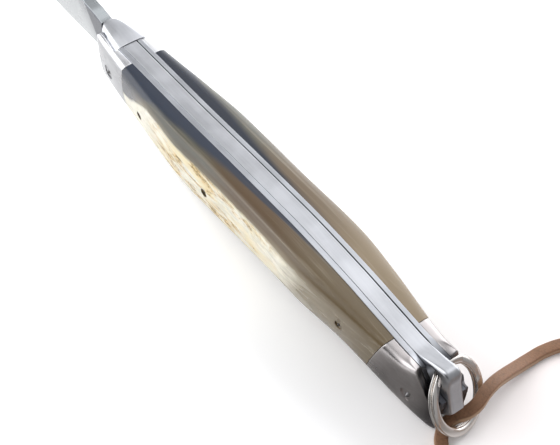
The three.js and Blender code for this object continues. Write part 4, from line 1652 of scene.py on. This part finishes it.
@dataclass
class BackSpring:
    """The spring with its deep tail and the head that covers the tang."""

    finishes: Finishes
    tail_reach: float = 11.0
    tail_slope: float = 16.0
    swell: float = 0.35
    head_under: float = -2.9
    seam_width: float = 0.14
    seam_depth: float = 0.35
    tail_round: float = 0.75
    fine_round: float = 0.1
    corner_start: float = 1.4
    corner_pull: Pair = (-1.0, -0.6)
    corner_end: Pair = (-1.19, -3.6)
    under_head: float = -1.2

    def _under(self, x: float) -> float:
        """Work out the bar's lower side.

        Args:
            x: the place along the handle.

        Returns:
            Its height there.
        """
        thick = SHAPE.back(HEAD.rear) - self.head_under
        bar = smooth_curve(((0, thick + 2 * self.swell), (0.5, thick + self.swell), (1, thick)), HEAD.rear)
        return SHAPE.back(x) - bar(x) if x < HEAD.rear else self.head_under

    def _rim(self, x: float, z: float) -> float:
        """The rounding of the bar's rim, which grows round the tail's end."""
        tail = smoothstep(9.0, 2.0, x) * smoothstep(-15, -11.5, z)
        return self.fine_round + (self.tail_round - self.fine_round) * tail

    def _bar(self) -> Piece:
        """Make the bar and tail, as one plate with the ring's hole.

        Returns:
            The plate.
        """
        seam, reach, slope = self.seam_width / 2, self.tail_reach, self.tail_slope
        top = [(x, SHAPE.back(x)) for x in spread(2.0, HEAD.rear - seam, 110)]
        step = [(x, SHAPE.back(HEAD.rear) - self.seam_depth) for x in (HEAD.rear - seam, HEAD.rear + seam)]
        end = [(HEAD.rear + 1, self.under_head), (HEAD.front - 0.4, self.under_head)]
        rise = reach + slope
        under = [(x, self._under(x)) for x in spread(HEAD.front - 0.4, rise, 60)]
        z = self._under(rise)
        neck = [(reach + 0.45 * slope, z - 0.5), (reach + 0.2 * slope, z - 1.5), (reach + 0.05 * slope, -8),
                (reach, -10)]
        belly = [(x, SHAPE.belly(x)) for x in spread(reach + 0.5, SHAPE.butt_low, 14)]
        foot = [(x, SHAPE.belly(0) + up) for x, up in SHAPE.tail_foot]
        start = Vector((self.corner_start, SHAPE.back(self.corner_start)))
        pull, stop = Vector(self.corner_pull), Vector(self.corner_end)
        corner = [start * (1 - t) ** 2 + pull * 2 * t * (1 - t) + stop * t * t for t in spread(0, 1, 12)]
        outline = [*top, *step, *end, *under, *neck, *belly, *foot, (-SHAPE.butt_reach, SHAPE.butt_middle),
                   *((p.x, p.y) for p in corner[::-1])]
        half = SHAPE.spring_width / 2
        made = rounded_plate("spring_bar", outline, -half, half, self._rim)
        hole = [(RING.hole_x + u, RING.hole_z + w) for u, w in circle(RING.hole_radius, 48)]
        boolean(made, plate("hole", hole, -5, 5))
        shade(made, 35)
        return made

    @staticmethod
    def _half_section(x: float, share: float, crest: float, flank: Flank) -> list[Pair]:
        """Draw one side of the head's section, from below to its crest.

        Args:
            x: the section's place along the handle.
            share: the same as a share of the head's length.
            crest: the height of the middle, before the nose drops.
            flank: the side's sizes.

        Returns:
            Pairs of y and z.
        """
        half, drop = HEAD.plan(x), HEAD.nose_drop * smoothstep(0.9, 1.0, share)
        edge = crest - flank.round_off * (1 - 0.5 * share) - drop
        shoulder = half - flank.inset * (1 - 0.6 * share)
        section = [(half, -HEAD.wing_depth), (half, edge - flank.height)]
        section += [(half + (shoulder - half) * s, edge - flank.height * (1 - s))
                    for s in (0.25, 0.5, 0.75, 1.0)]
        section += [(shoulder * math.cos(t), edge + (crest - drop - edge) * math.sin(t))
                    for t in spread(0.25, math.pi / 2, 6)]
        return section

    def _head(self) -> Piece:
        """Make the head: a crowned wedge with sloping flanks.

        Returns:
            The head.
        """
        places = spread(HEAD.rear + self.seam_width / 2, HEAD.front, 40)
        rings = []
        for i, x in enumerate(places):
            share = i / (len(places) - 1)
            crest = SHAPE.back(HEAD.rear) + HEAD.rise * math.sin(math.pi * (0.12 + 0.62 * share))
            left, right = (self._half_section(x, share, crest, flank) for flank in (HEAD.left, HEAD.right))
            rings.append([(x, y, z) for y, z in left] + [(x, -y, z) for y, z in reversed(right[:-1])])
        made = loft("spring_head", rings)
        bevel(made, 0.12, 30)
        # Each flank carries a number that brightens the head's colour there: a painted highlight.
        for side in Side:
            mark(made, side.word, lambda x, y, z, way=side.value: smoothstep(-0.4, 2.4, way * y))
        shade(made, 35)
        return made

    def build(self) -> None:
        """Make the bar and the head."""
        finish_piece(self._bar(), "handle", "spring_steel", self.finishes.spring, "back_spring")
        finish_piece(self._head(), "handle", "spring_steel", self.finishes.head)


@dataclass
class Pins:
    """The pins: two through the bolsters, one under the spring and three in each scale.

    The bolster pins are peened to low domes. They stand proud on the left and are filed nearly flush on the
    right.
    """

    finishes: Finishes
    spread: float = 0.3
    proud: float = 0.25
    filed: float = 0.3
    dome: float = 0.3
    steps: int = 31
    sides: int = 48

    def build(self) -> None:
        """Make each kind of pin where its solids are."""
        tree = pin_tree()
        scale_pins = [f"{side.word}_scale_pin_{where}" for side in Side for where in PIN_PLACES]
        steel, dark = self.finishes.pin, self.finishes.horn_pin
        for name, nodes, finish, peened in (("bolster_pins", ["pivot_pin", "rear_pin"], steel, 1),
                                            ("spring_pin_turned", ["spring_pin"], steel, 0),
                                            ("horn_pins", scale_pins, dark, 0)):
            boxes = [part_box(node) for node in nodes]
            aside = Vector((0, peened * (self.proud + self.filed) / 2000.0, 0))
            middles = [(Vector(low) + Vector(high)) / 2 + aside for low, high in boxes]
            radii = [(high[2] - low[2]) / 2 + peened * self.spread / 1000.0 for low, high in boxes]
            lengths = [high[1] - low[1] + peened * (self.proud - self.filed) / 1000.0 for low, high in boxes]
            values = {"Dome": self.dome / 1000.0 / max(lengths), "Steps": self.steps, "Sides": self.sides,
                      "Finish": finish}
            made = tree.grow(name, values, middles, {"radius": radii, "length": lengths})
            shade(made, 50)
            finish_piece(made, "handle", "pin_steel", finish, *nodes)


# Blade


@dataclass
class Blade:
    """The blade: tang, flat ricasso, ground faces, spine bevel and nail nick."""

    finishes: Finishes
    pivot_x: float = 113.4
    pivot_z: float = -7.6
    length: float = 100.0
    depth: float = 11.2
    tang_radius: float = 4.6
    thickness: float = 3.1
    spine_taper: float = 0.35
    spine_bevel: float = 0.3
    heel_round: float = 0.45
    heel_length: float = 5.0
    edge_flat: float = 0.12
    edge_height: float = 0.35
    edge_half: float = 0.03
    hollow: float = 1.05
    plunge_top: float = 14.9
    plunge_lean: float = 0.63
    plunge_width: float = 1.2
    nick_at: float = 29.5
    nick_drop: float = 5.2
    nick_radius: float = 26.0
    nick_depth: float = 0.55
    nick_height: float = 2.2
    spine_points: tuple[Pair, ...] = (
        (0.076, 0.45), (0.18, 1.2), (0.34, 1.9), (0.5, 2), (0.66, 1.3), (0.82, -0.9), (1, -5.4))
    edge_points: tuple[Pair, ...] = ((0, 0), (0.55, 0), (0.7, 0.5), (0.82, 1.7), (0.92, 3.6), (1, 5.4))

    def __post_init__(self) -> None:
        """Work out the curves."""
        self.spine = smooth_curve(self.spine_points, self.length, self.pivot_x)
        rise = smooth_curve(self.edge_points, self.length, self.pivot_x)
        self.edge = lambda x: -self.depth + rise(x)
        half = self.thickness / 2
        taper = ((0, half), (0.15, half * 0.86), (1, half * self.spine_taper))
        self.thick = smooth_curve(taper, self.length, self.pivot_x)
        self.shoulder = HEAD.front + 0.06

    def _top(self, x: float) -> float:
        """The spine's height, which falls a little towards the head."""
        heel = smoothstep(self.shoulder + self.heel_length, self.shoulder, x)
        return self.spine(x) - self.heel_round * heel

    def _grind_start(self, z: float) -> float:
        """Where the grind begins at a height, because its plunge line leans."""
        plunge = self.pivot_x + self.plunge_top
        return plunge + self.plunge_lean * (z - self.spine(plunge))

    def _half_at(self, x: float, z: float) -> float:
        """Work out half the blade's thickness.

        Args:
            x: a point's place along the blade.
            z: its height.

        Returns:
            How far the side is from the middle there.
        """
        top, low = self._top(x), self.edge(x)
        down = min(1.0, max(0.0, (top - z) / max(0.01, top - low)))
        ground = self.thick(x) + (self.edge_flat - self.thick(x)) * down**self.hollow
        start = self._grind_start(z)
        mix = smoothstep(start, start + self.plunge_width, x)
        value = self.thickness / 2 * (1 - mix) + ground * mix
        bevel_in = self.spine_bevel * smoothstep(self.spine_bevel, 0, top - z)
        edge_in = smoothstep(self.edge_height, 0, z - low) * (value - self.edge_half)
        return max(0.02, value - bevel_in - edge_in)

    def _body(self) -> Piece:
        """Make the blade in front of the handle, as a loft of fine sections.

        Returns:
            The blade without its tang.
        """
        tip = self.pivot_x + self.length
        plunge = self.pivot_x + self.plunge_top
        stations = [*spread(self.shoulder, plunge + 2.5, 90), *spread(plunge + 3, tip - 25, 60),
                    *spread(tip - 24.7, tip - 0.2, 60)]
        shares = [0, 0.012, 0.024, *spread(0.04, 0.96, 34), 0.974, 0.987, 1]
        rings = []
        for x in stations:
            top, low = self._top(x), self.edge(x)
            side = [(self._half_at(x, top + (low - top) * s), top + (low - top) * s) for s in shares]
            rings.append([(x, y, z) for y, z in side] + [(x, -y, z) for y, z in reversed(side)])
        return loft("blade_body", rings)

    def _tang(self) -> Piece:
        """Make the round tang that the pin passes through.

        Returns:
            The tang.
        """
        tang = [(self.pivot_x + self.tang_radius * math.cos(t), self.pivot_z + self.tang_radius * math.sin(t))
                for t in spread(math.pi / 2, math.pi * 1.5, 40)]
        outline = [*tang, (self.pivot_x + 3.2, self.pivot_z - self.tang_radius),
                   (self.shoulder - 2.5, -self.depth - 0.25), (self.shoulder + 0.4, -self.depth + 0.02),
                   (self.shoulder + 0.4, self.pivot_z + self.tang_radius)]
        half = self.thickness / 2
        return plate("blade_tang", outline, -half + 0.004, half - 0.004)

    def _nick(self) -> Piece:
        """Make the cutter of the nail nick, a thin wheel that dips into the left face.

        Returns:
            The cutter.
        """
        x = self.pivot_x + self.nick_at
        z = self.spine(x) - self.nick_drop
        y = self._half_at(x, z)
        rim, half = self.nick_radius - self.nick_depth, self.nick_height / 2
        middle = y + self.nick_radius - self.nick_depth
        rings = [[(x + r * math.sin(t), middle - r * math.cos(t), z + h) for t in spread(-0.6, 0.6, 60)]
                 + [(x, middle, z + h)]
                 for r, h in ((rim, -half), (self.nick_radius, self.nick_height / 5), (rim, half))]
        return loft("nick", rings)

    def _near_spine(self, x: float, z: float) -> float:
        """1 on the spine and 0 on the blade's sides."""
        return smoothstep(0.10, 0.02, self._top(x) - z)

    def _mark(self, body: Piece) -> None:
        """Note where the faces are left unground, where the grind begins and where the spine is.

        Args:
            body: the blade without its tang.
        """
        # The ricasso and the start of the grind are darkened in colour, as painted dark reflection and shade;
        # the spine is lightened, as a painted highlight.
        for name, full, none in (("ricasso", 0.0, 0.5 * self.plunge_width), ("grind_start", 1.5, 8.0)):
            mark(body, name, lambda x, y, z, full=full, none=none: smoothstep(
                self._grind_start(z) + none, self._grind_start(z) + full, x) * (1 - self._near_spine(x, z)))
        mark(body, "spine", lambda x, y, z: self._near_spine(x, z))

    def build(self) -> None:
        """Make the blade and its tang."""
        body = self._body()
        boolean(body, self._nick())
        self._mark(body)
        shade(body, 22)
        finish_piece(body, "blade", "blade_steel", self.finishes.blade, "blade")
        tang = self._tang()
        shade(tang, 30)
        finish_piece(tang, "blade", "blade_steel", self.finishes.blade)


# Ring, lace and knot


@dataclass
class SplitRing:
    """The lanyard ring: two close turns of rounded wire with their ends cut off square."""

    finishes: Finishes
    turns: float = 1.96
    start: float = math.radians(-52)
    steps: int = 320
    sides: int = 28

    def build(self) -> None:
        """Wind the ring and hang it in its hole."""
        made = coil_tree().grow("split_ring", {
            "Radius": RING.radius / 1000.0, "Wire": RING.wire / 1000.0, "Turns": self.turns,
            "Start": self.start, "Steps": self.steps, "Sides": self.sides, "Finish": self.finishes.nickel})
        hang = Matrix.Translation(FRAME.place((RING.hole_x, 0, RING.hole_z))) @ RING.turn.to_4x4()
        made.data.transform(hang)
        shade(made, 40)
        finish_piece(made, "ring", "nickel", self.finishes.nickel, "lanyard_ring")


@dataclass(frozen=True)
class KnotPlace:
    """Where the knot lies: its end at the strands, the way to its other end and the way across it."""

    base: Vector
    along: Vector
    across: Vector


@dataclass
class Lace:
    """One flat leather lace through the ring, with both ends in a wrapped knot behind the butt."""

    finishes: Finishes
    width: float = 2.7
    thickness: float = 1.6
    ground: float = -17.9
    lift: float = 0.05
    length_m: float = 0.182
    knot_radius: float = 3.1
    knot_length: float = 9.0
    tail_length: float = 12.0
    corner: float = 0.42
    wrap_turns: float = 3.0
    wrap_half: Pair = (1.45, 0.75)
    wrap_inset: float = 0.85
    wrap_margin: float = 1.6
    knot_shares: Pair = (1.06, 0.84)
    end_start: float = 0.7
    end_uneven: float = 2.0
    end_aside: float = 2.6
    end_lift: float = 0.8

    @property
    def laid(self) -> float:
        """The height of the lace's middle where it lies flat."""
        return self.ground + self.thickness / 2 + self.lift

    def route(self) -> list[Vector]:
        """Give the lace's points, which the CAD model repeats.

        Returns:
            The points in order, from the knot through the ring and back.
        """
        laid = self.laid
        rows = (
            (-67, -8.7, 1.5), (-62.5, -8, 1), (-56, -4.8, 0.2), (-49, -0.8, 0), (-40, 3.4, 0),
            (-28, 7.8, 0), (-18, 10.3, 0), (-11, 10.2, 0), (-7.45, 7.9, 0), (-5.2, 5.3, 0),
            (-2.7, 3.4, 0.1), (-1.35, 1.3, 0.8), (-1.55, -0.8, 1.9), (-2.6, -2.9, 2.9),
            (-2.8, -5.1, 3.9), (-1.9, -8, 4.4), (-1.1, -11, 4.1), (-0.4, -14.5, 2.9), (0.2, -18.5, 1.4),
            (0.6, -22.5, 0.3), (0.5, -26.5, 0), (-1, -31.4, 0), (-5.6, -35.5, 0), (-12.5, -37, 0),
            (-21, -35.6, 0), (-33, -30.2, 0), (-46, -23, 0), (-56, -16.6, 0.2), (-62.5, -12.9, 1),
            (-67, -12.2, 1.5),
        )
        return [Vector((x, y, laid + up)) for x, y, up in rows]

    @staticmethod
    def smooth(points: Sequence[Vector], per: int = 10) -> list[Vector]:
        """Draw a centripetal curve through points.

        Args:
            points: the points.
            per: samples in each stretch.

        Returns:
            The samples.
        """
        full = [2 * points[0] - points[1], *points, 2 * points[-1] - points[-2]]
        out = []
        for i in range(1, len(full) - 2):
            p0, p1, p2, p3 = full[i - 1 : i + 3]
            d0, d1, d2 = (max((b - a).length ** 0.5, 1e-4) for a, b in ((p0, p1), (p1, p2), (p2, p3)))
            t1 = ((p1 - p0) / d0 - (p2 - p0) / (d0 + d1) + (p2 - p1) / d1) * d1
            t2 = ((p2 - p1) / d1 - (p3 - p1) / (d1 + d2) + (p3 - p2) / d2) * d1
            for k in range(per):
                t = k / per
                out.append(p1 * (2 * t**3 - 3 * t**2 + 1) + t1 * (t**3 - 2 * t * t + t)
                           + p2 * (-2 * t**3 + 3 * t * t) + t2 * (t**3 - t * t))
        out.append(points[-1].copy())
        return out

    @staticmethod
    def frames(path: Sequence[Vector]) -> list[tuple[Vector, Vector]]:
        """Find a level direction across a path and one square to it.

        Args:
            path: the path's points.

        Returns:
            The two directions at each point.
        """
        out = []
        for i in range(len(path)):
            along = (path[min(i + 1, len(path) - 1)] - path[max(i - 1, 0)]).normalized()
            across = Vector((0, 0, 1)).cross(along).normalized()
            out.append((across, along.cross(across)))
        return out

    def section(self) -> list[Pair]:
        """Draw the lace's rounded flat section.

        Returns:
            Pairs of the place across the lace and the height.
        """
        a, b, r = self.width / 2, self.thickness / 2, self.corner
        corners = ((a - r, b - r, 0), (-a + r, b - r, 1), (-a + r, -b + r, 2), (a - r, -b + r, 3))
        return [(x + r * math.cos(q), y + r * math.sin(q)) for x, y, k in corners
                for q in spread(k * math.pi / 2, (k + 1) * math.pi / 2, 4)]

    def _dress(self, made: Piece, count: int) -> None:
        """Mark the cut edges of a swept lace.

        Args:
            made: the lace.
            count: points in its section.
        """
        cut = made.data.attributes.new("cut_edge", "FLOAT", "POINT")
        section = self.section()
        for i in range(len(made.data.vertices)):
            across, up = section[i % count]
            cut.data[i].value = smoothstep(0.86, 0.98, abs(across) / (self.width / 2)) * (
                1 - smoothstep(0.5, 0.95, abs(up) / (self.thickness / 2)))
        shade(made, 60)

    def _strap(self, name: str, path: Sequence[Vector]) -> Piece:
        """Make a flat strap.

        Args:
            name: the object's name.
            path: the strap's points.

        Returns:
            The strap.
        """
        section = self.section()
        made = sweep(name, path, self.frames(path), section)
        self._dress(made, len(section))
        return made

    def build(self) -> None:
        """Make the lace, its knot and its two cut ends."""
        path = self.smooth(self.route())
        lace = self._strap("lace", path)
        finish_piece(lace, "ring", "leather", self.finishes.leather, "thong")
        knot = self._knot(path)
        mouth = FRAME.place((path[0] + path[-1]) / 2)
        points = [FRAME.place(p) for p in path]
        length = sum((b - a).length for a, b in zip(points, points[1:]))
        LOG.info("lace length %.4f m", length)
        LOG.info("knot at %s", mouth)

    def _wraps(self, at: KnotPlace) -> Piece:
        """Wind the turns of the lace round both strands.

        Args:
            at: where the knot lies.

        Returns:
            The winding.
        """
        steps, up = 96, Vector((0, 0, 1))
        wide, high = self._wound
        section = [tuple(half * math.copysign(abs(c) ** 0.7, c) for half, c in zip(self.wrap_half, point))
                   for point in circle(1.0, 16)]
        rings = []
        for i in range(steps + 1):
            t = i / steps
            angle = 2 * math.pi * self.wrap_turns * t
            out = at.across * math.cos(angle) * wide + up * math.sin(angle) * high
            along = self.wrap_margin + (self.knot_length - 2 * self.wrap_margin) * t
            centre = at.base + at.along * along + out
            normal = (at.across * math.cos(angle) / wide + up * math.sin(angle) / high).normalized()
            rings.append([centre + at.along * a + normal * b for a, b in section])
        return loft("lace_knot", rings)

    @property
    def _wound(self) -> Pair:
        """Half the width and height of the turns' middle line."""
        wide, high = (self.knot_radius * share - self.wrap_inset for share in self.knot_shares)
        return wide, high

    def _core(self, at: KnotPlace) -> Piece:
        """Fill the knot inside its turns.

        Args:
            at: where the knot lies.

        Returns:
            The filling.
        """
        wide, high = self._wound
        back = self.knot_length
        return loft("knot_core", [
            [at.base + at.along * a + at.across * (u * wide * k) + Vector((0, 0, w * high * k))
             for u, w in circle(1.0, 24)]
            for a, k in ((0.05, 0.45), (0.5, 0.8), (1.5, 1.0), (back - 1.5, 1.0), (back - 0.3, 0.7))])

    def _end(self, at: KnotPlace, way: int) -> Piece:
        """Lay one cut end of the lace behind the knot.

        Args:
            at: where the knot lies.
            way: the side that it lies to, 1 or -1, of which the first is longer.

        Returns:
            The end.
        """
        start = at.base + at.along * (self.end_start * self.knot_length)
        length = self.tail_length + self.end_uneven * way
        points = []
        for t in spread(0, 1, 8):
            p = start + at.along * (t * length) + at.across * (way * self.end_aside * (0.62 + 0.5 * t * t))
            p.z = self.laid + (1 - t) ** 2 * self.end_lift
            points.append(p)
        return self._strap(f"end{way}", points)

    def _knot(self, path: Sequence[Vector]) -> Piece:
        """Tie the wrapped knot, with the two ends beyond it.

        Args:
            path: the lace's points.

        Returns:
            The knot.
        """
        first, last = path[0], path[-1]
        heading = (first - path[1]).normalized() + (last - path[-2]).normalized()
        along = Vector((heading.x, heading.y, 0)).normalized()
        across = Vector((0, 0, 1)).cross(along)
        middle = (first + last) / 2
        base = Vector((middle.x, middle.y, self.ground + 0.86 * self.knot_radius + self.lift)) + along * 0.5
        at = KnotPlace(base, along, across)
        made = self._wraps(at)
        pieces = [made, self._core(at), self._end(at, -1), self._end(at, 1)]
        for piece in pieces:
            shade(piece, 60)
        with bpy.context.temp_override(
                active_object=made, selected_editable_objects=pieces, selected_objects=pieces):
            bpy.ops.object.join()
        return finish_piece(made, "ring", "leather", self.finishes.leather, "thong_knot")


# Studio


@dataclass(frozen=True)
class Camera:
    """The photograph's camera, fitted to the knife, in the handle's frame."""

    place: Point = (-97.60, 111.51, 205.64)
    yaw: float = math.radians(36.383)
    pitch: float = math.radians(48.758)
    focal_pixels: float = 1362.9
    frame_pixels: float = 560.0
    sensor: float = 36.0

    def build(self) -> None:
        """Create the camera and make it the scene's."""
        data = bpy.data.cameras.new("camera")
        data.sensor_fit = "HORIZONTAL"
        data.sensor_width = self.sensor
        data.lens = self.focal_pixels / self.frame_pixels * self.sensor
        data.clip_start = 0.01
        made = linked("camera", data)
        level = Vector((math.cos(self.yaw), -math.sin(self.yaw), 0))
        forward = level * math.cos(self.pitch) + Vector((0, 0, -math.sin(self.pitch)))
        right = Vector((-math.sin(self.yaw), -math.cos(self.yaw), 0))
        up = right.cross(forward)
        turn = Matrix((right, up, -forward)).transposed().to_4x4()
        made.matrix_world = Matrix.Translation(FRAME.place(self.place)) @ turn
        bpy.context.scene.camera = made


@dataclass(frozen=True)
class Glow:
    """A bright part of the room: its direction, the cosines where it starts and is full, and its strength."""

    direction: Point
    low: float
    high: float
    strength: float


@dataclass
class Studio:
    """A white table, soft light from the right, and a grey room for the steel to mirror."""

    floor_size: float = 6.0
    table: Point = (0.92, 0.92, 0.92)
    warm_corner: Point = (0.80, 0.70, 0.68)
    # The painted dark reflection that the steel sees in the table behind the butt.
    mirrored_dark: Point = (0.07, 0.065, 0.06)
    room: float = 0.36
    glows: tuple[Glow, ...] = (
        Glow((0.35, -0.93, 0.08), 0.55, 0.96, 2.1),
        Glow((0.68, 0.52, 0.42), 0.80, 0.96, 2.0),
        Glow((0.36, 0.30, 0.88), 0.92, 0.99, 0.75),
        Glow((0.22, -0.45, 0.86), 0.90, 0.99, 0.85),
        Glow((0.0, 0.0, 1.0), 0.45, 1.0, 0.14),
        Glow((-0.05, 1.0, 0.15), 0.60, 0.95, -0.42),
    )

    def _table(self) -> bpy.types.Material:
        """Build the table's white, with what the camera and the steel see of it beside its own colour.

        Returns:
            The material.
        """
        material, nodes, surface, coordinates = new_material("table_white")
        surface.inputs["Roughness"].default_value = 0.85
        surface.inputs["Specular IOR Level"].default_value = 0.1
        rays = nodes.tree.nodes.new("ShaderNodeLightPath").outputs
        split = nodes.tree.nodes.new("ShaderNodeSeparateXYZ")
        nodes.link(coordinates, split.inputs[0])
        x, y = split.outputs["X"], split.outputs["Y"]

        # Painted light: the table glows for camera and glossy rays, more towards the blade, which washes out
        # the knife's shadow there; the white behind the knife fades a little towards the butt, for the camera
        # and in the steel
        seen = nodes.times(rays["Is Camera Ray"], nodes.ramp(x, -0.10, 0.06, 0.12, 0.60))
        seen = nodes.plus(seen, nodes.times(rays["Is Glossy Ray"], nodes.ramp(x, -0.06, 0.03, 0.0, 0.40)))
        surface.inputs["Emission Color"].default_value = (1, 1, 1, 1)
        nodes.link(seen, surface.inputs["Emission Strength"])

        # Painted dark reflection: for glossy rays only, the table turns dark behind the butt and left of it,
        # so that the steel mirrors shade there
        left = nodes.times(nodes.ramp(x, -0.076, -0.090), nodes.ramp(y, 0.0, 0.008))
        behind = nodes.times(nodes.math("MAXIMUM", nodes.ramp(x, -0.104, -0.125), left), 0.78)
        warm = nodes.times(nodes.ramp(x, -0.06, -0.14), nodes.ramp(y, 0.04, -0.04))
        table = nodes.mix(warm, self.table, self.warm_corner)
        dark_reflection_mask = nodes.times(rays["Is Glossy Ray"], behind)
        nodes.link(nodes.mix(dark_reflection_mask, table, self.mirrored_dark), surface.inputs["Base Color"])
        return material

    def _floor(self) -> None:
        """Lay the white table that the knife lies on."""
        half = self.floor_size / 2
        mesh = bpy.data.meshes.new("floor")
        corners = [(-half, -half, 0), (half, -half, 0), (half, half, 0), (-half, half, 0)]
        mesh.from_pydata(corners, [], [(0, 1, 2, 3)])
        mesh.materials.append(self._table())
        linked("floor", mesh)

    def _area(self, name: str, place: Point, size: Pair, power: float) -> None:
        """Hang a soft light that looks at the knife, and that the steel doesn't mirror.

        Args:
            name: the light's name.
            place: where it hangs, in metres.
            size: its width and height.
            power: its power in watts.
        """
        data = bpy.data.lights.new(name, "AREA")
        data.shape = "RECTANGLE"
        data.size, data.size_y = size
        data.energy = power
        made = linked(name, data)
        made.location = place
        made.rotation_euler = (-Vector(place)).to_track_quat("-Z", "Y").to_euler()
        made.visible_glossy = False

    def _world(self) -> None:
        """Build a grey room with a window wall and a soft lamp overhead, for the steel to mirror."""
        world = bpy.data.worlds.new("room")
        bpy.context.scene.world = world
        world.use_nodes = True
        tree = world.node_tree
        nodes = Nodes(tree)
        background = tree.nodes["Background"]
        coordinates = tree.nodes.new("ShaderNodeTexCoord")
        level: object = self.room
        for glow in self.glows:
            facing = tree.nodes.new("ShaderNodeVectorMath")
            facing.operation = "DOT_PRODUCT"
            facing.inputs[1].default_value = Vector(glow.direction).normalized()
            nodes.link(coordinates.outputs["Generated"], facing.inputs[0])
            bright = nodes.ramp(facing.outputs["Value"], glow.low, glow.high, 0.0, glow.strength)
            level = nodes.plus(bright, level)
        nodes.link(nodes.math("MAXIMUM", level, 0.02), background.inputs["Strength"])
        background.inputs["Color"].default_value = (0.97, 0.98, 1.0, 1)

    def build(self) -> None:
        """Make the floor, the lights and the room."""
        self._floor()
        self._world()
        self._area("key", (0.15, -0.8, 0.7), (0.6, 0.6), 4.4)
        self._area("fill", (0.35, 0.7, 0.6), (0.8, 0.5), 3.6)
        bpy.context.scene.view_settings.view_transform = "Standard"


def main() -> None:
    """Build the knife piece by piece, then the studio round it."""
    logging.basicConfig(level=logging.INFO, format="%(name)s %(message)s")
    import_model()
    finishes = Finishes()
    Camera().build()
    Lace(finishes).build()
    SplitRing(finishes).build()
    for side in Side:
        SidePieces(side, finishes).build()
    BackSpring(finishes).build()
    Pins(finishes).build()
    Blade(finishes).build()
    Studio().build()


if __name__ == "__main__":
    main()
